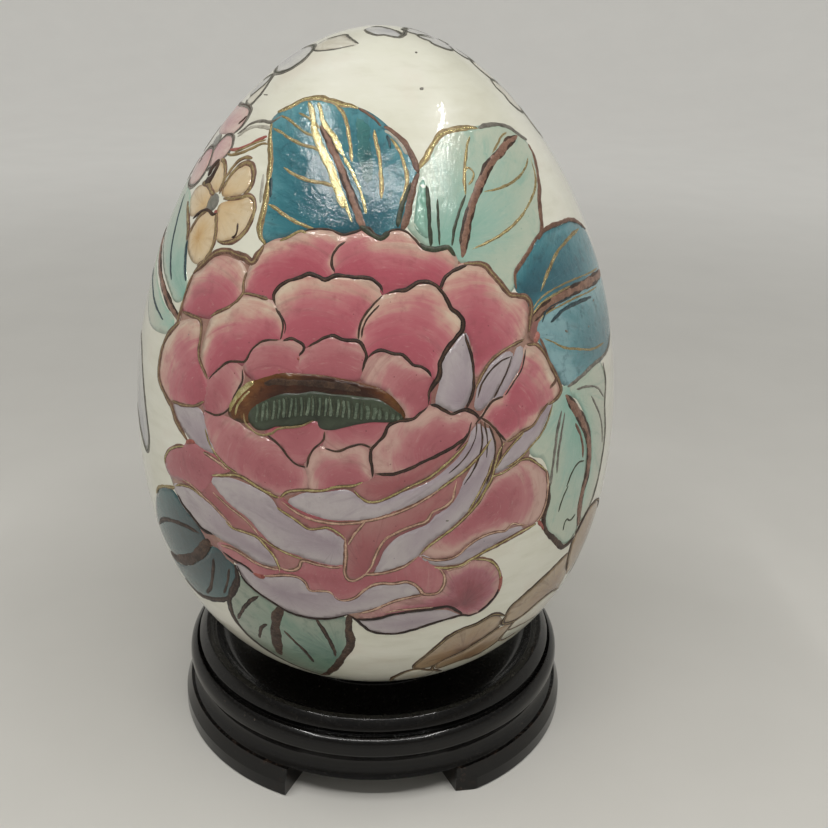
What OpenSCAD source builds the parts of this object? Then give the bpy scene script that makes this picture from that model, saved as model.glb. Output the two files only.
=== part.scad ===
// A porcelain display egg standing in a turned, black-lacquered wooden stand on three feet.
// The frame: Z is the axis of the egg and of the stand, Z = 0 is the table, and -Y is the painted front.
// The egg is a hollow slip-cast shell that lies loose on the stand's seat and lifts straight off it.

/* [Egg] */
// Height of the egg from its broad end to its tip
egg_h = 143; // [110:1:180]
// Radius that drives the egg's girth (the widest circle is about 1% larger)
egg_r = 52.3; // [40:0.1:66]
// How much broader the lower end is than the tip
egg_bottom_weight = 0.134; // [0:0.002:0.2]
// How blunt both ends are
egg_blunt = 0.067; // [0:0.002:0.12]
// How far the widest circle is pulled down towards the broad end
egg_drop = 0.109; // [0:0.002:0.16]
// Thickness of the porcelain
egg_wall = 3.2; // [2:0.1:6]
// Diameter of the pour hole in the underside
pour_hole_d = 8; // [4:0.5:14]

/* [Stand] */
// Outer radius of the feet on the table
foot_r = 46.5; // [40:0.1:60]
// Height of the rim above the table
rim_h = 19.5; // [18:0.1:24]
// Inner radius of the rim's flared face
rim_r = 40.4; // [38:0.1:46]
// Radius of the through hole below the egg
well_r = 20; // [15:0.5:20.5]
// Place of the seat on the egg, as the angle from the egg's underside
seat_angle = 20; // [19:0.5:22]
// Free space between the egg and the seat
seat_gap = 0.2; // [0.1:0.05:0.4]

/* [Feet] */
// Part of the circle that one foot takes up, in degrees
foot_span = 72; // [40:1:76]
// Height of the feet, which is the height of the gaps between them
foot_h = 6.2; // [4.5:0.1:6.5]
// Radial depth of a foot
foot_depth = 12; // [8:0.5:14]

/* [Hidden] */

porcelain_colour = [0.88, 0.87, 0.80];
lacquer_colour = [0.06, 0.06, 0.06];

// Angle between two rings of the egg's outline
egg_step = 3;
// Angle between two rings of the egg's inside
inner_step = 5;
// Cut-outs start and end this far outside what they cut
past = 1;

// Turned steps of the stand's outside, each as a radius and a height above the table
bead = [rim_r + 2.5, rim_h - 1.9];
fillet = [rim_r + 3.1, rim_h - 3.3];
moulding = [rim_r + 4.5, rim_h - 6.1];
cove_top = [rim_r + 4.2, rim_h - 7.1];
cove_bottom = [rim_r + 4.2, foot_h];
groove_depth = 1.6;
cove_depth = 1.7;
// Flat top of the rim, and the step inside it
lip_w = 0.8;
step_w = 0.9;
step_h = 0.9;
// Dished ring between the rim and the seat
dish_low_r = 31;
dish_low_h = rim_h - 5.6;
seat_outer_r = 24.2;
// Flared top of a foot, as widths and heights from the foot's outer bottom edge
foot_top_in = 1.3;
foot_wall_h = 3.2;
foot_edge = 0.3;
// Flat taken off the outer corner at one end of each foot, as depth, length and turn
corner_depth = 1.6;
corner_turn = 16;
corner_l = 14;

// Radius and height of the egg's surface at angle a from its underside
function girth(a) = 1 + egg_bottom_weight * cos(a) + egg_blunt * pow(cos(a), 2) + egg_drop * pow(cos(a), 3);
function egg_point(a, r, h) = [r * sin(a) * girth(a), h / 2 * (1 - cos(a))];

// The seat touches the egg on the circle at seat_angle, along the egg's own slope there
seat_point = egg_point(seat_angle, egg_r, egg_h);
seat_next = egg_point(seat_angle + 0.5, egg_r, egg_h);
seat_slope = (seat_next[1] - seat_point[1]) / (seat_next[0] - seat_point[0]);
// Height of the seat circle above the table, and with it the height of the egg's underside
seat_z = rim_h - 2.8;
egg_z = seat_z - seat_point[1] + seat_gap;

function on_seat(r) = [r, seat_z + (r - seat_point[0]) * seat_slope];
// An arc through a start and an end that bulges sideways by depth (to the left of its direction)
function arc(start, end, depth, steps) =
    let (mid = (start + end) / 2)
    let (dir = (end - start) / norm(end - start))
    let (side = [-dir[1], dir[0]])
    [for (i = [0 : steps])
        let (t = 2 * i / steps - 1)
        mid + t * (end - start) / 2 + side * depth * (1 - t * t)];

module egg_outline() {
    outer = [for (a = [0 : egg_step : 180]) egg_point(a, egg_r, egg_h)];
    polygon(outer);
}

module egg_inside() {
    inner = [for (a = [0 : inner_step : 180]) egg_point(a, egg_r - egg_wall, egg_h - 2 * egg_wall)];
    translate([0, egg_wall])
        polygon(inner);
}

module egg_shell() {
    color(porcelain_colour)
        translate([0, 0, egg_z])
            difference() {
                rotate_extrude($fn = 96)
                    difference() {
                        egg_outline();
                        egg_inside();
                    }
                translate([0, 0, -past])
                    cylinder(h = 2 * egg_wall + past, d = pour_hole_d, $fn = 48);
            }
}

module stand_profile() {
    lip = [rim_r, rim_h];
    lip_in = [rim_r - lip_w, rim_h];
    step_out = [rim_r - lip_w, rim_h - step_h];
    step_in = [rim_r - lip_w - step_w, rim_h - step_h];
    dish_low = [dish_low_r, dish_low_h];
    seat_outer = [seat_outer_r, dish_low_h + 1.6];
    polygon(concat(
        [[well_r, foot_h]],
        arc(cove_bottom, cove_top, cove_depth, 10),
        arc(cove_top, moulding, -0.15, 3),
        arc(moulding, fillet, -0.45, 6),
        arc([fillet[0] - 0.2, fillet[1] + 0.1], [bead[0] - 0.5, bead[1] - 0.2], groove_depth, 5),
        [bead, lip, lip_in, step_out],
        arc(step_in, dish_low, 1.3, 8),
        arc(dish_low, seat_outer, 0.5, 5),
        [on_seat(seat_outer_r), on_seat(well_r)]
    ));
}

module stand_ring() {
    color(lacquer_colour)
        rotate_extrude($fn = 96)
            stand_profile();
}

module foot_profile() {
    polygon([
        [foot_r - foot_depth, 0],
        [foot_r - foot_edge, 0],
        [foot_r, foot_edge],
        [foot_r - 0.1, foot_wall_h],
        [foot_r - foot_top_in, foot_h],
        [foot_r - foot_depth, foot_h]
    ]);
}

// One foot, with its middle at the given angle from the front, counted towards +X
module foot(from_front) {
    start = from_front - 90 - foot_span / 2;
    color(lacquer_colour)
        rotate([0, 0, start])
            difference() {
                rotate_extrude(angle = foot_span, $fn = 96)
                    foot_profile();
                translate([foot_r - corner_depth, 0, -past])
                    rotate([0, 0, -corner_turn])
                        translate([0, -corner_l / 2, 0])
                            cube([corner_l, 2 * corner_l, foot_h + 2 * past]);
            }
}

module foot_right() {
    foot(60);
}

module foot_back() {
    foot(180);
}

module foot_left() {
    foot(300);
}

egg_shell();
stand_ring();
foot_right();
foot_back();
foot_left();
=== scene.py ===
import math

import bpy
import numpy as np
from mathutils import Matrix, Vector
from mathutils.geometry import delaunay_2d_cdt


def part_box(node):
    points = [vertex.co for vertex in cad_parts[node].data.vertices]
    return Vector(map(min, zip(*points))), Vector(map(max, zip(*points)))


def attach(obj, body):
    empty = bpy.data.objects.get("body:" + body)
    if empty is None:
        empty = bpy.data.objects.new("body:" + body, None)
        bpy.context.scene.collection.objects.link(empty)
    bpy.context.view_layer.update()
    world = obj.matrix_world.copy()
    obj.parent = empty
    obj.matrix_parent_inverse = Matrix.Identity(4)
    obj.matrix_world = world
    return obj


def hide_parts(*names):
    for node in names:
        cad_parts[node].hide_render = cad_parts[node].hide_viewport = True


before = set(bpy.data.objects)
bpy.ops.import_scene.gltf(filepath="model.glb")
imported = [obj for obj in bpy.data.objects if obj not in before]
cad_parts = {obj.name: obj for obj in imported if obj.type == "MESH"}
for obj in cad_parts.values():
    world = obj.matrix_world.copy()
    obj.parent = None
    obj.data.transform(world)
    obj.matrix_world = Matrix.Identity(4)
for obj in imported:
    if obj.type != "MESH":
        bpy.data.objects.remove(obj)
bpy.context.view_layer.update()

MM = 0.001

# The egg's outline: the radius is R sin(a) g(cos a) at angle a from the underside, as in the CAD model.
GIRTH = (1.0, 0.134, 0.067, 0.109)
WALL = 3.2
POUR_HOLE_R = 4.0
# The porcelain lies this far (mm) under the CAD surface, so the raised enamel ends at that surface.
RELIEF = 0.22

egg_low, egg_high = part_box("egg_shell")
EGG_Z = egg_low[2] / MM
EGG_H = (egg_high[2] - egg_low[2]) / MM
angles = np.linspace(0.0, math.pi, 2001)


def girth(a):
    c = np.cos(a)
    return np.sin(a) * (GIRTH[0] + GIRTH[1] * c + GIRTH[2] * c**2 + GIRTH[3] * c**3)


EGG_R = (egg_high[0] - egg_low[0]) / MM / 2 / girth(angles).max()
ring_r = EGG_R * girth(angles)
ring_z = EGG_H / 2 * (1 - np.cos(angles))
climb = np.concatenate([[0.0], np.cumsum(np.hypot(np.diff(ring_r), np.diff(ring_z)))])
slope_r = np.gradient(ring_r, angles)
slope_z = np.gradient(ring_z, angles)


def on_egg(lon, s, lift):
    """Points in metres at longitude lon (degrees, 0 at the front, + towards +X), s mm up the outline
    from the underside, and lift mm above the porcelain."""
    lon = np.radians(np.asarray(lon, float))
    a = np.interp(s, climb, angles)
    r, z = np.interp(a, angles, ring_r), np.interp(a, angles, ring_z)
    dr, dz = np.interp(a, angles, slope_r), np.interp(a, angles, slope_z)
    size = np.hypot(dr, dz)
    r = r + (lift - RELIEF) * dz / size
    z = z - (lift - RELIEF) * dr / size
    return np.stack([r * np.sin(lon), -r * np.cos(lon), z + EGG_Z], -1) * MM


def mm_per_degree(s):
    return math.radians(1.0) * float(np.interp(s, climb, ring_r))


# ------------------------------------------------------------------ curves in the egg's own chart
# A chart point is (lon, s) as above. Inside a patch or a line it is scaled to mm both ways.

TINY = 1e-9


def curve(points, step, closed=False):
    """A smooth curve through (lon, s) points, in mm and sampled every step mm, and the scale to mm."""
    p = np.array(points, float)
    scale = np.array([mm_per_degree(p[:, 1].mean()), 1.0])
    p = p * scale
    if closed:
        p = np.concatenate([p[-1:], p, p[:2]])
    else:
        p = np.concatenate([2 * p[:1] - p[1:2], p, 2 * p[-1:] - p[-2:-1]])
    fine = []
    for a, b, c, d in zip(p[:-3], p[1:-2], p[2:-1], p[3:]):
        span = max(np.linalg.norm(c - b), 1e-6)
        m0 = (c - a) / max(np.linalg.norm(c - a), 1e-6) * span
        m1 = (d - b) / max(np.linalg.norm(d - b), 1e-6) * span
        t = np.linspace(0, 1, 10, endpoint=False)[:, None]
        fine.append((2 * t**3 - 3 * t**2 + 1) * b + (t**3 - 2 * t**2 + t) * m0
                    + (3 * t**2 - 2 * t**3) * c + (t**3 - t**2) * m1)
    fine.append(p[-2:-1])
    fine = np.concatenate(fine)
    length = np.concatenate([[0.0], np.cumsum(np.linalg.norm(np.diff(fine, axis=0), axis=1))])
    count = max(int(round(length[-1] / step)), 3)
    at = np.linspace(0, length[-1], count + 1)[: count if closed else count + 1]
    return np.stack([np.interp(at, length, fine[:, i]) for i in (0, 1)], -1), scale


def inside(p, ring):
    """Which points p lie inside the closed ring."""
    a, b = ring, np.roll(ring, -1, axis=0)
    x, y = p[:, 0:1], p[:, 1:2]
    crosses = (a[:, 1] > y) != (b[:, 1] > y)
    rise = np.where(b[:, 1] == a[:, 1], TINY, b[:, 1] - a[:, 1])
    return ((x < (b[:, 0] - a[:, 0]) * (y - a[:, 1]) / rise + a[:, 0]) & crosses).sum(1) % 2 == 1


def rim_distance(p, ring):
    """Distance from each point to the closed ring."""
    a, d = ring, np.roll(ring, -1, axis=0) - ring
    t = ((p[:, None] - a) * d).sum(2) / np.maximum((d * d).sum(1), 1e-12)
    near = a + np.clip(t, 0, 1)[..., None] * d
    return np.linalg.norm(p[:, None] - near, axis=2).min(1)


def reach(p, root, ring):
    """How far p lies between the near and the far side of the ring, seen from root: 0 to 1."""
    d = p - root
    a, e = ring, np.roll(ring, -1, axis=0) - ring
    cross = d[:, 0:1] * e[:, 1] - d[:, 1:2] * e[:, 0]
    cross = np.where(np.abs(cross) < TINY, TINY, cross)
    ao = a - root
    t = (ao[:, 0] * e[:, 1] - ao[:, 1] * e[:, 0]) / cross
    u = (ao[:, 0] * d[:, 1:2] - ao[:, 1] * d[:, 0:1]) / cross
    hit = (u >= -0.001) & (u <= 1.001) & (t > 0)
    far = np.where(hit, t, -np.inf).max(1)
    near = np.zeros(len(p)) if inside(root[None], ring)[0] else np.where(hit, t, np.inf).min(1)
    near = np.minimum(near, 1.0)
    far = np.maximum(far, 1.0)
    return np.clip((1 - near) / np.maximum(far - near, 1e-6), 0, 1)


# ------------------------------------------------------------------ mesh building


def add_mesh(name, verts, faces, material, body="egg", smooth=None):
    mesh = bpy.data.meshes.new(name)
    mesh.from_pydata([tuple(v) for v in verts], [], faces)
    mesh.materials.append(material)
    mesh.polygons.foreach_set("use_smooth", [True] * len(faces) if smooth is None else smooth)
    mesh.validate()
    piece = bpy.data.objects.new(name, mesh)
    bpy.context.scene.collection.objects.link(piece)
    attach(piece, body)
    return piece


# Spacing of a patch's grid points and of its outline's points
GRID, OUTLINE_STEP = 0.9, 0.7
# A patch's heights over the porcelain at its rim and its underside, and the width of its domed edge
RIM_LIFT, PATCH_ROOT, EDGE_W = 0.012, -0.12, 1.4
# Patches differ a little in height, so that no two faces coincide where they overlap
LIFT_STEP = 0.0015
# Counts the patches and brush lines. Each one's unevenness starts from its own number.
seed = [0]


def grown(ring, amount):
    """The closed ring moved outwards by amount."""
    run = np.roll(ring, -1, axis=0) - np.roll(ring, 1, axis=0)
    out = np.stack([run[:, 1], -run[:, 0]], -1) / np.maximum(np.linalg.norm(run, axis=1), TINY)[:, None]
    area = (ring[:, 0] * np.roll(ring[:, 1], -1) - np.roll(ring[:, 0], -1) * ring[:, 1]).sum()
    return ring + out * amount * np.sign(area)


def filled(ring):
    """Points and triangles that fill the closed ring with an even grid."""
    low, high = ring.min(0), ring.max(0)
    rows = np.arange(low[1], high[1], GRID * 0.87)
    columns = np.arange(low[0], high[0], GRID)
    grid = np.array([(x + (i % 2) * GRID / 2, y) for i, y in enumerate(rows) for x in columns])
    grid = grid[inside(grid, ring)]
    grid = grid[rim_distance(grid, ring) > 0.5 * GRID] if len(grid) else grid.reshape(0, 2)
    loop = [(i, (i + 1) % len(ring)) for i in range(len(ring))]
    flat = [Vector(p) for p in np.concatenate([ring, grid])]
    points, _, faces, *_ = delaunay_2d_cdt(flat, loop, [], 1, 1e-6)
    p = np.array([tuple(v) for v in points])
    tris = []
    for a, b, c in faces:
        turn = (p[b] - p[a])[0] * (p[c] - p[a])[1] - (p[b] - p[a])[1] * (p[c] - p[a])[0]
        tris.append((a, b, c) if turn > 0 else (a, c, b))
    return p, tris


def store(piece, name, kind, field, values):
    """A point attribute with the same values on the piece's upper and lower skin."""
    data = piece.data.attributes.new(name, kind, "POINT").data
    data.foreach_set(field, np.concatenate([values, values]).ravel())


def enamel(name, paint, outline, root, lift=0.07, tone=(0.0, 1.0), rim=RIM_LIFT, grow=0.0):
    """A patch of fired enamel inside a closed outline: a thin domed solid, its colour shaded from root.
    It reaches grow mm past the outline, so that it ends under the line drawn there."""
    seed[0] += 1
    extra = LIFT_STEP * (seed[0] % 5)
    rim, lift = rim + extra, lift + extra
    ring, scale = curve(outline, OUTLINE_STEP, closed=True)
    ring = grown(ring, grow)
    p, tris = filled(ring)
    dist = rim_distance(p, ring)
    dome = 1 - (1 - np.minimum(dist / EDGE_W, 1)) ** 2
    top = on_egg(p[:, 0] / scale[0], p[:, 1], rim + (lift - rim) * dome)
    under = on_egg(p[:, 0] / scale[0], p[:, 1], PATCH_ROOT)
    n = len(p)
    edges = {(t[i], t[(i + 1) % 3]) for t in tris for i in range(3)}
    sides = [(b, a, a + n, b + n) for a, b in sorted(edges) if (b, a) not in edges]
    faces = tris + [(c + n, b + n, a + n) for a, b, c in tris] + sides
    smooth = [True] * len(tris) + [False] * (len(tris) + len(sides))
    piece = add_mesh(name, np.concatenate([top, under]), faces, PAINT[paint], smooth=smooth)
    origin = np.array(root, float) * scale
    away = p - origin
    axis = p.mean(0) - origin
    axis = axis / max(np.linalg.norm(axis), 1e-6)
    angle = np.arctan2(away @ np.array([-axis[1], axis[0]]), away @ axis)
    radius = np.linalg.norm(away, axis=1)
    shade = tone[0] + (tone[1] - tone[0]) * reach(p, origin, ring)
    flow = np.stack([angle * max(radius.mean(), 3.0), radius, np.full(n, seed[0] * 7.3)], -1)
    store(piece, "tone", "FLOAT", "value", shade)
    store(piece, "flow", "FLOAT_VECTOR", "vector", flow)
    store(piece, "edge", "FLOAT", "value", dist)


# Cross-section of a raised line: offsets in half widths, and heights
SECTION = ((-1.0, -0.06), (-0.8, 0.5), (-0.4, 0.92), (0.0, 1.0), (0.4, 0.92), (0.8, 0.5), (1.0, -0.06))
# How far under the porcelain a line is rooted
LINE_ROOT = -0.16
# How far a hand-drawn line strays sideways, and how far its width varies, as shares of its width
DRIFT, WOBBLE = 0.045, 0.23
# The share of half the line's length over which each end thins out
TAPER = 0.35


def stroke(points, width, height):
    """Vertices and faces of one raised brush line, rounded at its ends and a little uneven in width."""
    seed[0] += 1
    line, scale = curve(points, min(0.5, width * 0.6))
    n = len(line)
    ahead = np.concatenate([line[1:], 2 * line[-1:] - line[-2:-1]])
    behind = np.concatenate([2 * line[:1] - line[1:2], line[:-1]])
    run = ahead - behind
    run = run / np.maximum(np.linalg.norm(run, axis=1), TINY)[:, None]
    side = np.stack([-run[:, 1], run[:, 0]], -1)
    at = np.concatenate([[0.0], np.cumsum(np.linalg.norm(np.diff(line, axis=0), axis=1))])
    phase = seed[0] * 1.7
    drift = DRIFT * (0.6 * np.sin(at / 2.1 + phase) + 0.7 * np.sin(at / 0.6 + 3 * phase)
                     + 0.7 * np.sin(at / 0.31 + phase))
    line = line + side * (drift * min(width, 1.2))[:, None]
    uneven = 1 + WOBBLE * (0.5 * np.sin(at / 1.9 + phase) + 0.35 * np.sin(at / 0.83 + 2 * phase)
                           + 0.2 * np.sin(at / 4.1 + 3 * phase)
                           + 0.4 * min(1, 0.8 / width) ** 2 * np.sin(at / 0.41 + 5 * phase))
    tip = np.minimum(at, at[-1] - at) / max(width * 0.6, TAPER * at[-1] * 0.5)
    taper = np.sqrt(np.clip(1 - (1 - np.minimum(tip, 1)) ** 2, 0.02, 1))
    half = width / 2 * uneven * (0.25 + 0.75 * taper)
    height = height * (0.2 + 0.8 * taper)
    rows = []
    for offset, rise in SECTION:
        q = line + side * (offset * half)[:, None]
        rows.append(on_egg(q[:, 0] / scale[0], q[:, 1], rise * height))
    rows.append(on_egg(line[:, 0] / scale[0], line[:, 1], LINE_ROOT))
    verts = np.stack(rows, 1).reshape(-1, 3)
    k = len(rows)
    faces = []
    for i in range(n - 1):
        for c in range(k):
            d = (c + 1) % k
            faces.append((i * k + c, i * k + d, (i + 1) * k + d, (i + 1) * k + c))
    faces.append(tuple(reversed(range(k))))
    faces.append(tuple((n - 1) * k + c for c in range(k)))
    return verts, [tuple(reversed(f)) for f in faces]


def lines(name, ink, strokes, height=0.115):
    """One object of several raised lines in the same ink. Each stroke is (width, points)."""
    verts, faces, count = [], [], 0
    for width, points in strokes:
        v, f = stroke(points, width, height)
        verts.append(v)
        faces += [tuple(i + count for i in face) for face in f]
        count += len(v)
    add_mesh(name, np.concatenate(verts), faces, INK[ink])


def trimmed(name, under, over, strokes, share=0.5, height=0.09):
    """Lines in one ink with a narrower raised line of another ink along their middle."""
    lines(name + "_base", under, strokes, height)
    lines(name + "_top", over, [(width * share, points) for width, points in strokes], height + 0.03)


# ------------------------------------------------------------------ materials


def srgb(code):
    """Linear colour of a hex colour."""
    values = [int(code[i:i + 2], 16) / 255 for i in (0, 2, 4)]
    return [v / 12.92 if v <= 0.04045 else ((v + 0.055) / 1.055) ** 2.4 for v in values] + [1.0]


def grey(value):
    """A neutral linear colour, also used for plain numbers that go through a colour node."""
    return [value] * 3 + [1.0]


class Graph:
    """Short calls for the shader nodes used here. Each adds a node to one tree and returns its output.
    Distances are in mm."""

    def __init__(self, tree):
        self.nodes, self.links = tree.nodes, tree.links

    def feed(self, socket, value):
        """Link the socket, or set it where the value is a constant."""
        if isinstance(value, bpy.types.NodeSocket):
            self.links.new(value, socket)
        else:
            socket.default_value = value

    def coordinate(self, name):
        return self.nodes.new("ShaderNodeTexCoord").outputs[name]

    def mapping(self, vector, scale):
        made = self.nodes.new("ShaderNodeMapping")
        made.inputs["Scale"].default_value = scale
        self.feed(made.inputs["Vector"], vector)
        return made.outputs["Vector"]

    def space(self, x=1.0, y=1.0, z=1.0):
        """The object's own coordinates in mm, stretched along each axis."""
        return self.mapping(self.coordinate("Object"), (x / MM, y / MM, z / MM))

    def height(self, vector):
        made = self.nodes.new("ShaderNodeSeparateXYZ")
        self.feed(made.inputs["Vector"], vector)
        return made.outputs["Z"]

    def attribute(self, name, output="Fac"):
        made = self.nodes.new("ShaderNodeAttribute")
        made.attribute_name = name
        return made.outputs[output]

    def noise(self, vector, scale, detail=4.0, rough=0.55, distortion=0.0):
        made = self.nodes.new("ShaderNodeTexNoise")
        made.inputs["Scale"].default_value = scale
        made.inputs["Detail"].default_value = detail
        made.inputs["Roughness"].default_value = rough
        made.inputs["Distortion"].default_value = distortion
        self.feed(made.inputs["Vector"], vector)
        return made.outputs["Fac"]

    def dots(self, vector, scale, size):
        """1 inside scattered small dots, 0 elsewhere."""
        made = self.nodes.new("ShaderNodeTexVoronoi")
        made.inputs["Scale"].default_value = scale
        self.feed(made.inputs["Vector"], vector)
        return self.math("LESS_THAN", made.outputs["Distance"], size)

    def math(self, operation, a, b, clamp=False):
        made = self.nodes.new("ShaderNodeMath")
        made.operation = operation
        made.use_clamp = clamp
        self.feed(made.inputs[0], a)
        self.feed(made.inputs[1], b)
        return made.outputs[0]

    def times(self, a, b):
        return self.math("MULTIPLY", a, b)

    def ramp(self, value, stops):
        """Colour at value, from (position, colour) stops; a colour is hex or linear."""
        made = self.nodes.new("ShaderNodeValToRGB")
        elements = made.color_ramp.elements
        while len(elements) > 1:
            elements.remove(elements[-1])
        for i, (at, colour) in enumerate(stops):
            element = elements[0] if i == 0 else elements.new(at)
            element.position = at
            element.color = colour if isinstance(colour, list) else srgb(colour)
        self.feed(made.inputs["Fac"], value)
        return made.outputs["Color"]

    def band(self, value, low, high):
        """0 below low, 1 above high, smooth between."""
        made = self.nodes.new("ShaderNodeMapRange")
        made.interpolation_type = "SMOOTHSTEP"
        made.inputs["From Min"].default_value = low
        made.inputs["From Max"].default_value = high
        self.feed(made.inputs["Value"], value)
        return made.outputs["Result"]

    def blend(self, factor, a, b):
        """Colour a with factor of colour b over it; a hex colour is allowed for b."""
        made = self.nodes.new("ShaderNodeMix")
        made.data_type = "RGBA"
        sockets = {s.name: s for s in made.inputs if s.type == "RGBA"}
        weight = [s for s in made.inputs if s.name == "Factor" and s.type == "VALUE"][0]
        self.feed(weight, factor)
        self.feed(sockets["A"], a)
        self.feed(sockets["B"], srgb(b) if isinstance(b, str) else b)
        return [s for s in made.outputs if s.type == "RGBA"][0]

    def bump(self, height, distance, strength, normal=None):
        made = self.nodes.new("ShaderNodeBump")
        made.inputs["Distance"].default_value = distance * MM
        made.inputs["Strength"].default_value = strength
        self.feed(made.inputs["Height"], height)
        if normal:
            self.feed(made.inputs["Normal"], normal)
        return made.outputs["Normal"]


class Surface(Graph):
    """A new material with a Principled shader."""

    def __init__(self, name):
        self.material = bpy.data.materials.new(name)
        self.material.use_nodes = True
        super().__init__(self.material.node_tree)
        self.inputs = self.nodes["Principled BSDF"].inputs

    def set(self, **values):
        """Shader inputs by name, with _ for each space."""
        for name, value in values.items():
            self.feed(self.inputs[name.replace("_", " ")], value)


def paint_material(name, stops, streak, speck, mottle, ripple=0.35, across=False, coat=0.85):
    """Translucent enamel brushed over porcelain: shaded along its brush strokes, pooled at its edge and
    speckled. The strokes run away from the patch's root, or across that direction."""
    s = Surface(name)
    dark, light = streak
    flow = s.mapping(s.attribute("flow", "Vector"), (0.13, 0.8, 1.0) if across else (1.0, 0.16, 1.0))
    space = s.space()
    wander = s.noise(space, 0.16, 3.0)
    brushed = s.noise(flow, 0.55, 5.0, 0.6, 0.6)
    hair = s.noise(flow, 2.4, 3.0, 0.6)
    tone = s.math("ADD", s.attribute("tone"), s.times(s.math("SUBTRACT", wander, 0.5), 0.55))
    tone = s.math("ADD", tone, s.times(s.math("SUBTRACT", brushed, 0.5), 0.7), clamp=True)
    colour = s.ramp(tone, stops)
    colour = s.blend(s.times(s.band(brushed, 0.5, 0.76), 0.6), colour, dark)
    colour = s.blend(s.times(s.band(hair, 0.56, 0.8), 0.3), colour, light)
    cloud = s.noise(space, 0.45, 5.0, 0.65)
    colour = s.blend(s.times(s.band(cloud, 0.5, 0.75), mottle), colour, dark)
    pooled = s.math("SUBTRACT", 1.0, s.band(s.attribute("edge"), 0.1, 1.3))
    colour = s.blend(s.times(pooled, 0.35), colour, dark)
    colour = s.blend(s.times(s.dots(space, 0.34, 0.05), 0.5), colour, speck)
    swell = s.bump(s.noise(space, 0.5, 3.0, 0.5), ripple, 0.3)
    grain = s.math("ADD", s.times(hair, 0.4), s.noise(space, 2.2, 3.0, 0.6))
    relief = s.bump(grain, 0.06, 0.7, swell)
    s.set(Base_Color=colour, Roughness=0.4, Specular_IOR_Level=0.12, Normal=relief,
          Coat_Weight=coat, Coat_IOR=1.65, Coat_Roughness=0.055, Coat_Normal=relief)
    return s.material


def ink_material(name, colours, roughness, metal=0.0, grain=0.12, fleck=None):
    """A raised line: slip or gold trailed on by hand, with colour that breaks along it."""
    s = Surface(name)
    space = s.space()
    run = s.noise(space, 0.5, 6.0, 0.7)
    fine = s.noise(space, 2.6, 4.0, 0.7)
    mixed = s.math("ADD", s.times(run, 0.6), s.times(fine, 0.4))
    colour = s.ramp(s.band(mixed, 0.32, 0.68), list(zip((0.0, 0.5, 1.0), colours)))
    if fleck:
        colour = s.blend(s.times(s.band(fine, 0.6, 0.72), 0.7), colour, fleck)
    gloss = s.ramp(run, [(0.3, grey(roughness + 0.12)), (0.7, grey(roughness - 0.08))])
    beads = s.noise(space, 1.7, 4.0, 0.65)
    s.set(Base_Color=colour, Metallic=metal, Roughness=gloss, Specular_IOR_Level=0.3,
          Coat_Weight=0.12, Coat_Roughness=0.2, Normal=s.bump(beads, grain, 0.8))
    return s.material


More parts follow.
